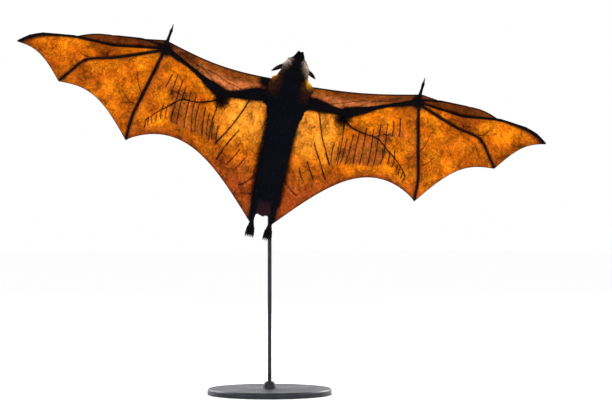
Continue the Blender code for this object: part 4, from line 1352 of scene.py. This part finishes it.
def blackened_steel(name, turned):
    """Turned or drawn steel, chemically blackened and waxed, with fine tool marks."""
    made, place = new_material(name)
    if turned:
        marks = add(made, "ShaderNodeTexWave", {"wave_type": "RINGS", "rings_direction": "Z"},
                    Vector=place, Scale=per_mm(6.0), Distortion=0.6, Detail=2.0)
    else:
        drawn = add(made, "ShaderNodeMapping", Vector=place, Scale=(0.02, 0.02, 1.0)).outputs["Vector"]
        marks = add(made, "ShaderNodeTexNoise", Vector=drawn, Scale=per_mm(1.2), Detail=2.0)
    cloud = add(made, "ShaderNodeTexNoise", Vector=place, Scale=per_mm(26), Detail=4.0).outputs["Fac"]
    stops = ((0.3, linear("#26272A")), (0.7, linear("#3B3C40")))
    colour = add(made, "ShaderNodeValToRGB", stops=stops, Fac=cloud).outputs["Color"]
    rough = add(made, "ShaderNodeValToRGB", stops=((0.3, 0.34), (0.7, 0.52)), Fac=cloud)
    relief = (marks.outputs["Fac"], 0.25, 0.0002)
    return finished(made, colour, rough.outputs["Color"], relief, Metallic=0.85)


# --- Eyes, claws and stand ----------------------------------------------------------------------

CLAW_STEPS = 14


def dress(piece, finish, slot):
    """Carry a finished piece from the bat's frame to the stand's, and fasten it there."""
    piece.data.transform(BAT_TO_WORLD)
    piece.data.materials.clear()
    for material in finish if isinstance(finish, list) else [finish]:
        piece.data.materials.append(material)
    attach(piece, "root")
    return piece


def make_eye(side_name, finish):
    """Eyeball with a bulging cornea; its rings run round the way it looks."""
    side = SIDES[side_name]
    mesh = bmesh.new()
    bmesh.ops.create_uvsphere(mesh, u_segments=48, v_segments=32, radius=EYE_RADIUS)
    axis = (HEAD_TURN @ mirrored(EYE_OUT, side)).normalized()
    turn = Vector((0, 0, 1)).rotation_difference(axis).to_matrix().to_4x4()
    for vert in mesh.verts:
        tilt = vert.co.angle(Vector((0, 0, 1)))
        vert.co *= 1 + 0.07 * math.exp(-((tilt / 0.55) ** 4)) - 0.012
    rings = [vert.co.angle(Vector((0, 0, 1))) / 1.4 for vert in mesh.verts]
    bmesh.ops.transform(mesh, matrix=Matrix.Translation(eye_centre(side)) @ turn, verts=mesh.verts)
    finish_faces(mesh, 0)
    eye = make_object("eyeball_" + side_name, mesh)
    set_attribute(eye.data, "ring", np.clip(rings, 0, 1), "FLOAT")
    dress(eye, finish, "eye")
    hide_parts("eye_" + side_name)


def claw(mesh, root, tip, bend, thick):
    """Hooked, tapering claw, deeper than it is wide."""
    line, radii = [], []
    for step in range(CLAW_STEPS + 1):
        u = step / CLAW_STEPS
        line.append(root.lerp(tip, u) + bend * (math.sin(math.pi * u * 0.9) * 0.6))
        radii.append(thick * (1 - u) ** 0.75 * (1 + 0.12 * math.sin(math.pi * min(3 * u, 1))) + 0.12)
    loft(mesh, ring_rows(line, radii, 12, 1.25, bend.normalized()))


def make_claws(side_name, finish):
    """Thumb claw, and one object for the five claws of a foot."""
    thumb = BONES_OF[side_name]["thumb"]
    root, end = thumb[2], thumb[3]
    back = (root - end).normalized()
    tip = end + Vector((0, -4.5, 0)) + back * 0.4
    mesh = bmesh.new()
    claw(mesh, root + back * 1.6, tip, Vector((0, 2.2, 0)) - back * 1.6, 2.1)
    nail = dress(closed_object("thumb_hook_" + side_name, mesh), finish, "horn")
    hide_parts("thumb_claw_" + side_name)
    mesh = bmesh.new()
    for _start, knuckle, tip in toe_joints(side_name):
        claw(mesh, knuckle.lerp(tip, 0.1), tip, Vector((0, 1.6, -1.2)), 2.1)
    dress(closed_object("toe_claws_" + side_name, mesh), finish, "horn")


def make_stand():
    """Turned base with a bored boss, and the rod that carries the animal, finer than the solids."""
    _low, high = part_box("stand_base")
    radius = high.x
    rod_radius = ROD_RADIUS * MM
    bore = (ROD_RADIUS + ROD_GAP) * MM
    outline = [
        (0.0, 0.0), (radius - 0.001, 0.0), (radius, 0.001), (radius, 0.0095), (radius - 0.0025, 0.012),
        (0.0165, 0.012), (0.0138, 0.0128), (0.0128, 0.015), (0.0102, 0.024), (0.0088, 0.0256),
        (0.0078, high.z), (bore, high.z), (bore, 0.006), (0.0, 0.006),
    ]
    mesh = bmesh.new()
    verts = [mesh.verts.new((x, 0, z)) for x, z in outline]
    edges = [mesh.edges.new(pair) for pair in zip(verts, verts[1:])]
    bmesh.ops.spin(mesh, geom=verts + edges, cent=(0, 0, 0), axis=(0, 0, 1), angle=TAU, steps=160,
                   use_merge=True)
    bmesh.ops.remove_doubles(mesh, verts=mesh.verts, dist=1e-6)
    base = closed_object("stand_base_turned", mesh)
    base.data.shade_smooth()

    low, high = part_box("stand_rod")
    mesh = bmesh.new()
    heights = (low.z, low.z + 0.0006, high.z - 0.002, high.z)
    radii = (rod_radius - 0.0006, rod_radius, rod_radius, rod_radius - 0.0012)
    loft(mesh, ring_rows([(0, 0, height) for height in heights], radii, 32))
    rod = closed_object("stand_rod_drawn", mesh)
    for piece, node, turned in ((base, "stand_base", True), (rod, "stand_rod", False)):
        piece.data.set_sharp_from_angle(angle=math.radians(35))
        name = "blackened_turned_steel" if turned else "blackened_drawn_steel"
        piece.data.materials.append(blackened_steel(name, turned))
        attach(piece, "root")
        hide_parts(node)


# --- Coat ---------------------------------------------------------------------------------------

TUFT_PATCH = 0.003
MARKING_SCATTER = 1.8
TUFTS = {"trunk": 11500, "mantle": 12000, "head": 12400, "arm": 8000, "fringe": 11000, "leg": 8500}
DOWN = np.array([0.0, 0.0, -1.0])

# A tuft's three rings and tip: share of its lift, length and girth in each step from the root,
# and its shade there.
TUFT_STEPS = ((0.0, 0.0, 0.75), (1.0, 0.34, 1.0), (0.55, 0.36, 0.72), (0.15, 0.30, 0.0))
TUFT_SHADES = (0.55, 0.95, 1.05, 1.15)
TUFT_CORNERS = (3, 3, 3, 1)


def ground_triangles(ground):
    """Corners and corner normals of the bare body's triangles."""
    mesh = ground.data
    mesh.calc_loop_triangles()
    corners = np.zeros(len(mesh.loop_triangles) * 3, int)
    mesh.loop_triangles.foreach_get("vertices", corners)
    normals = np.zeros(len(mesh.vertices) * 3)
    mesh.vertices.foreach_get("normal", normals)
    corners = corners.reshape(-1, 3)
    return positions(mesh)[corners], normals.reshape(-1, 3)[corners]


def sow(triangles, weights, count, rng):
    """Roots spread over triangles by area and weight, with the skin's normal at each."""
    corners, normals = triangles
    area = np.linalg.norm(np.cross(corners[:, 1] - corners[:, 0], corners[:, 2] - corners[:, 0]), axis=1)
    share = area * weights
    chosen = rng.choice(len(share), count, p=share / share.sum())
    a, b = rng.random((2, count, 1))
    a, b = np.where(a + b > 1, 1 - a, a), np.where(a + b > 1, 1 - b, b)
    mix = np.concatenate([1 - a - b, a, b], axis=1)[:, :, None]
    normal = (normals[chosen] * mix).sum(axis=1)
    return (corners[chosen] * mix).sum(axis=1), normal / np.linalg.norm(normal, axis=1)[:, None]


def unwrap(points, line):
    """The skin unrolled round a line: turn about it, and how far along it."""
    _near, reach = distance_to_line(points, line)
    at = np.linspace(0, 1, 65)
    spine = walk(line, at)
    here, course = [
        np.stack([np.interp(reach, at, column) for column in values.T], axis=1)
        for values in (spine, np.gradient(spine, axis=0))
    ]
    course = unit(course)
    up = unit(np.cross(course, [[0.0, 1.0, 0.0]]))
    side = np.cross(up, course)
    away = points - here
    turn = np.arctan2((away * up).sum(axis=1), (away * side).sum(axis=1)) / TAU + 0.5
    return np.stack([turn, reach], axis=1)


def make_coat(name, roots, normals, lie, length, width, lift, colour, line, finish, slot, rng):
    """One piece of the coat: solid tapering tufts that lie along the body and overlap.

    Each tuft is a three-sided lock: three rings of three points and a tip.
    """
    count = len(roots)
    lie = unit(lie - normals * (lie * normals).sum(axis=1)[:, None])
    lie = unit(lie + np.cross(normals, lie) * rng.normal(0, 0.22, count)[:, None])
    across = np.cross(normals, lie)
    length = length * rng.uniform(0.75, 1.2, count)
    width = width * rng.uniform(0.75, 1.25, count)
    lift = np.radians(lift) * rng.uniform(0.6, 1.35, count)
    curl = rng.normal(0, 0.16, count)
    rings, centre = [], roots - normals * 0.5
    for share, step, girth in TUFT_STEPS:
        angle = (lift * share)[:, None]
        course = lie * np.cos(angle) + normals * np.sin(angle)
        course = course + across * (curl * (1 - share))[:, None]
        centre = centre + course * (length * step)[:, None]
        rings.append((centre, girth))
    points = []
    for centre, girth in rings[:3]:
        half = across * (width * girth / 2)[:, None]
        points += [centre - half, centre + half, centre + normals * (width * girth * 0.42)[:, None]]
    points.append(rings[3][0])
    verts = np.stack(points, axis=1).reshape(-1, 3)

    faces = [(0, 1, 2)]
    for low in (0, 3):
        for i in range(3):
            j = (i + 1) % 3
            faces += [(low + j, low + i, low + 3 + i, low + 3 + j)]
    faces += [(6 + (i + 1) % 3, 6 + i, 9) for i in range(3)]
    totals = np.tile([len(face) for face in faces], count)
    local = np.array([index for face in faces for index in face])
    loops = (local[None] + 10 * np.arange(count)[:, None]).ravel()
    mesh = bpy.data.meshes.new(name)
    mesh.vertices.add(len(verts))
    mesh.vertices.foreach_set("co", verts.ravel())
    mesh.loops.add(len(loops))
    mesh.loops.foreach_set("vertex_index", loops)
    mesh.polygons.add(len(totals))
    mesh.polygons.foreach_set("loop_start", np.concatenate([[0], np.cumsum(totals)[:-1]]))
    mesh.polygons.foreach_set("use_smooth", np.ones(len(totals), bool))
    mesh.update(calc_edges=True)
    mesh.validate()

    shade = np.repeat(TUFT_SHADES, TUFT_CORNERS)
    own = rng.uniform(0.85, 1.3, (count, 1, 1))
    tint = (colour[:, None] * shade[None, :, None] * own).reshape(-1, 3)
    set_attribute(mesh, "tint", np.minimum(tint, 1.0))
    spot = unwrap(roots, line) * (1 - 2 * TUFT_PATCH) + TUFT_PATCH
    across_patch = np.array([-0.5, 0.5, 0.0] * 3 + [0.0]) * TUFT_PATCH
    along_patch = np.repeat([-0.5, -0.1, 0.25, 0.5], TUFT_CORNERS) * TUFT_PATCH
    patch_uv = spot[:, None] + np.stack([across_patch, along_patch], axis=1)[None]
    layer = mesh.uv_layers.new(name="OFBake")
    layer.data.foreach_set("uv", patch_uv.reshape(-1, 2)[loops].astype(np.float32).ravel())
    return dress(link(name, mesh), finish, slot)


def membrane_triangles(grid, facing):
    """Corners and normals of a membrane's triangles, for hairs that stray onto it from the body."""
    a, b, c, d = grid[:-1, :-1], grid[:-1, 1:], grid[1:, 1:], grid[1:, :-1]
    corners = np.concatenate([np.stack([a, b, c], axis=2), np.stack([a, c, d], axis=2)])
    corners = corners.reshape(-1, 3, 3)
    normals = unit(np.cross(corners[:, 1] - corners[:, 0], corners[:, 2] - corners[:, 0]))
    normals = normals * np.where(normals[:, 1:2] * facing > 0, 1.0, -1.0)
    return corners, np.repeat(normals[:, None], 3, axis=1)


def fringe_weights(centres, joints):
    """Where hairs grow on the rear membrane: by the flank and the arm, thickest behind the elbow."""
    x, z = np.abs(centres[:, 0]), centres[:, 2]
    beside = np.maximum(x - 22 - 8 * smooth_step(z, 60, 85), 0)
    near, reach = distance_to_line(centres, joints["arm"])
    arm = arm_darkness(near * 1.15, reach) ** 2 * fade(reach, 0.5, 0.75)
    tuft = bell(gaps_to(centres, np.array(joints["arm"][1]) + (0, 0, -9)), 0, 13)
    return np.max([bell(beside, 0, 8) * (z > -150), arm, tuft], axis=0)


def coat_weights(centres):
    """How much of the coat each region carries, for every triangle of the bare body."""
    x, z = np.abs(centres[:, 0]), centres[:, 2]
    forward = in_head(centres)[:, 2]
    head = (forward > 8) & (x < 46)
    arm = np.zeros(len(centres), bool)
    along_arm = np.zeros(len(centres))
    for joints in BONES_OF.values():
        near, reach = distance_to_line(centres, joints["arm"])
        mine = (near < 16) & (x > 43)
        arm |= mine
        along_arm = np.where(mine, reach, along_arm)
    leg = ~arm & (z < -128)
    body = ~head & ~arm & ~leg
    return {
        "head": head * (1 + 1.6 * smooth_step(forward, 34, 52)) * fade(forward, 62, 66),
        "mantle": body * (z > 40) * 1.0,
        "trunk": body * (z <= 40) * 1.0,
        "arm": arm * fade(along_arm, 0.55, 0.86),
        "leg": leg * fade(-z, 176, 192),
    }


def tuft_colour(roots, rng):
    """Colour of each tuft, read a little off its root so that markings run into each other."""
    return coat_colour(roots + rng.normal(0, MARKING_SCATTER, roots.shape))


def lie_on_trunk(roots):
    """Lie, length, width and lift of the tufts at some roots. So do the next functions."""
    return DOWN + roots * (0.006, 0, 0), 11.5, 1.7, 27


def lie_on_mantle(roots):
    raised = smooth_step(roots[:, 2], 78, 92) * smooth_step(np.abs(roots[:, 0]), 18, 30)
    return DOWN + roots * (0.016, 0, 0), 13.0, 1.6, 30 + 18 * raised


def lie_on_head(roots):
    side, _up, forward = in_head(roots).T
    back_of_head, to_left = [np.array(HEAD_TURN @ Vector(way)) for way in ((0, 0, -1), (1, 0, 0))]
    length = np.interp(forward, [8, 26, 40, 50, 60, 66], [11.0, 8.0, 5.6, 3.4, 2.0, 1.2])
    width = np.interp(forward, [8, 40, 50, 66], [1.5, 1.05, 0.8, 0.5])
    return back_of_head + to_left * (side * 0.012)[:, None], length, width, 30


def lie_on_arm(roots, arm):
    _near, reach = distance_to_line(roots, arm)
    outward = unit(np.array([arm[1] - arm[0]] * len(roots)))
    outward[reach > 0.4] = np.array((arm[2] - arm[1]).normalized())
    length = np.interp(reach, [0, 0.3, 0.5, 0.86], [11, 8, 6, 2.5])
    return outward + DOWN * 0.35, length, 1.2, 24


def lie_on_leg(roots):
    length = np.interp(-roots[:, 2], [125, 145, 160, 195], [9, 7.5, 6, 3])
    return np.tile(DOWN, (len(roots), 1)), length, 1.1, 28


def grow_fringe(side_name, finish, rng):
    """Hairs that stray onto both sides of the membranes beside flank and arm."""
    joints = BONES_OF[side_name]
    grids = [MEMBRANES[side_name][name][0] for name in ("plagiopatagium", "propatagium")]
    sheets = [membrane_triangles(grid, facing) for grid in grids for facing in (-1, 1)]
    places = tuple(np.concatenate(found) for found in zip(*sheets))
    weights = fringe_weights(places[0].mean(axis=1), joints)
    roots, normals = sow(places, weights, TUFTS["fringe"], rng)
    lie = np.tile(DOWN + (SIDES[side_name] * 0.7, 0, 0), (len(roots), 1))
    length = np.interp(-roots[:, 2], [0, 100, 150], [6.5, 6.0, 3.5])
    colour = blend("#0A090B", "#43200F", 0.9 * (1 - fringe_weights(roots, joints)))
    make_coat("fringe_fur_" + side_name, roots, normals, lie, length, 0.6, 13, colour, joints["arm"],
              finish, "dark_fur", rng)


def grow_coat(ground, rng):
    """Every region of the coat, each with its own length, lie and density."""
    triangles = ground_triangles(ground)
    centres = triangles[0].mean(axis=1)
    behind = triangles[1].mean(axis=1)[:, 1] >= 0
    weights = coat_weights(centres)
    finish = fur_finish()

    def grow(name, region, chosen, line, slot, lie_of, *joints):
        roots, normals = sow(triangles, weights[region] * chosen, TUFTS[region], rng)
        colour = tuft_colour(roots, rng)
        make_coat(name, roots, normals, *lie_of(roots, *joints), colour, line, finish, slot, rng)

    spine = [Vector((0, 0, -160)), Vector((0, 0, 112))]
    grow("belly_fur", "trunk", ~behind, spine, "dark_fur", lie_on_trunk)
    grow("back_fur", "trunk", behind, spine, "dark_fur", lie_on_trunk)
    grow("mantle_fur", "mantle", 1, spine, "golden_fur", lie_on_mantle)
    head_line = [HEAD_JOINT, head_point((0, 0, 68))]
    grow("head_fur", "head", 1, head_line, "pale_fur", lie_on_head)
    for side_name, joints in BONES_OF.items():
        mine = centres[:, 0] * SIDES[side_name] > 0
        arm = joints["arm"]
        grow("arm_fur_" + side_name, "arm", mine, arm, "dark_fur", lie_on_arm, arm)
    for side_name in SIDES:
        grow_fringe(side_name, finish, rng)
    leg_line = [Vector((0, 0, -120)), Vector((0, 0, -190))]
    grow("leg_fur", "leg", 1, leg_line, "dark_fur", lie_on_leg)


# --- Studio -------------------------------------------------------------------------------------

CAMERA_PLACE = (0.073, -4.608, 0.382)
LENS_MM = 135.0
LAMP_TARGET = Vector((0.02, 0.0, 0.5))

# Soft square lights: place, size and power.
LAMPS = {
    "back_light_left": ((-1.6, 2.2, 1.9), 1.6, 70),
    "back_light_right": ((1.8, 2.2, 1.7), 1.6, 70),
    "front_light": ((-1.4, -2.6, 2.2), 1.8, 12),
}


def make_floor():
    """Plain pale floor."""
    mesh = bmesh.new()
    bmesh.ops.create_circle(mesh, cap_ends=True, segments=96, radius=14.0)
    floor = make_object("floor", mesh)
    made, _place = new_material("pale_floor")
    floor.data.materials.append(finished(made, (0.99, 0.99, 0.99, 1), 0.95))


def make_studio():
    """Floor, pale room, soft lights and camera."""
    make_floor()
    world = bpy.data.worlds.new("pale_room")
    world.use_nodes = True
    backdrop = world.node_tree.nodes["Background"]
    backdrop.inputs["Color"].default_value = (1.0, 0.995, 1.0, 1)
    backdrop.inputs["Strength"].default_value = 1.0
    for name, (place, size, power) in LAMPS.items():
        data = bpy.data.lights.new(name, "AREA")
        data.size = size
        data.energy = power
        light = link(name, data)
        light.location = place
        light.rotation_euler = (LAMP_TARGET - Vector(place)).to_track_quat("-Z", "Y").to_euler()
    data = bpy.data.cameras.new("camera")
    data.lens = LENS_MM
    data.sensor_width = 36.0
    camera = link("camera", data)
    camera.location = CAMERA_PLACE
    camera.rotation_euler = (math.pi / 2, 0, 0)
    scene = bpy.context.scene
    scene.world = world
    scene.camera = camera
    scene.view_settings.view_transform = "Standard"


# --- Whole model --------------------------------------------------------------------------------

def bore_for_rod(skin):
    """Cut the rod's hole into the belly, so that the skin ends at the steel."""
    mesh = bmesh.new()
    loft(mesh, ring_rows(rod_line(), (ROD_RADIUS + ROD_GAP,) * 2, 32))
    hole = closed_object("hole", mesh)
    bore = skin.modifiers.new("bore", "BOOLEAN")
    bore.solver = "MANIFOLD"
    bore.object = hole
    baked(skin)
    discard(hole)


def main():
    rng = np.random.default_rng(7)
    skin, ground = make_skin(rng)
    bore_for_rod(skin)
    mark_skin(skin)
    lay_out_skin(skin)
    finishes = [wing_membrane(), dark_leather("haired_skin"), vein_skin("vein_skin", "#45180A", 0.25),
                vein_skin("rim_skin", "#9A4208", 0.5), dark_leather("bare_leather_skin")]
    dress(skin, finishes, "wing_skin")
    flesh_nodes = [name for name in NODES if not name.startswith(("stand_", "eye_", "thumb_claw_"))]
    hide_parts(*flesh_nodes)
    eye_finish, horn = eye_glass(), claw_horn()
    for side_name in SIDES:
        make_eye(side_name, eye_finish)
        make_claws(side_name, horn)
    grow_coat(ground, rng)
    discard(ground)
    make_stand()
    make_studio()


main()
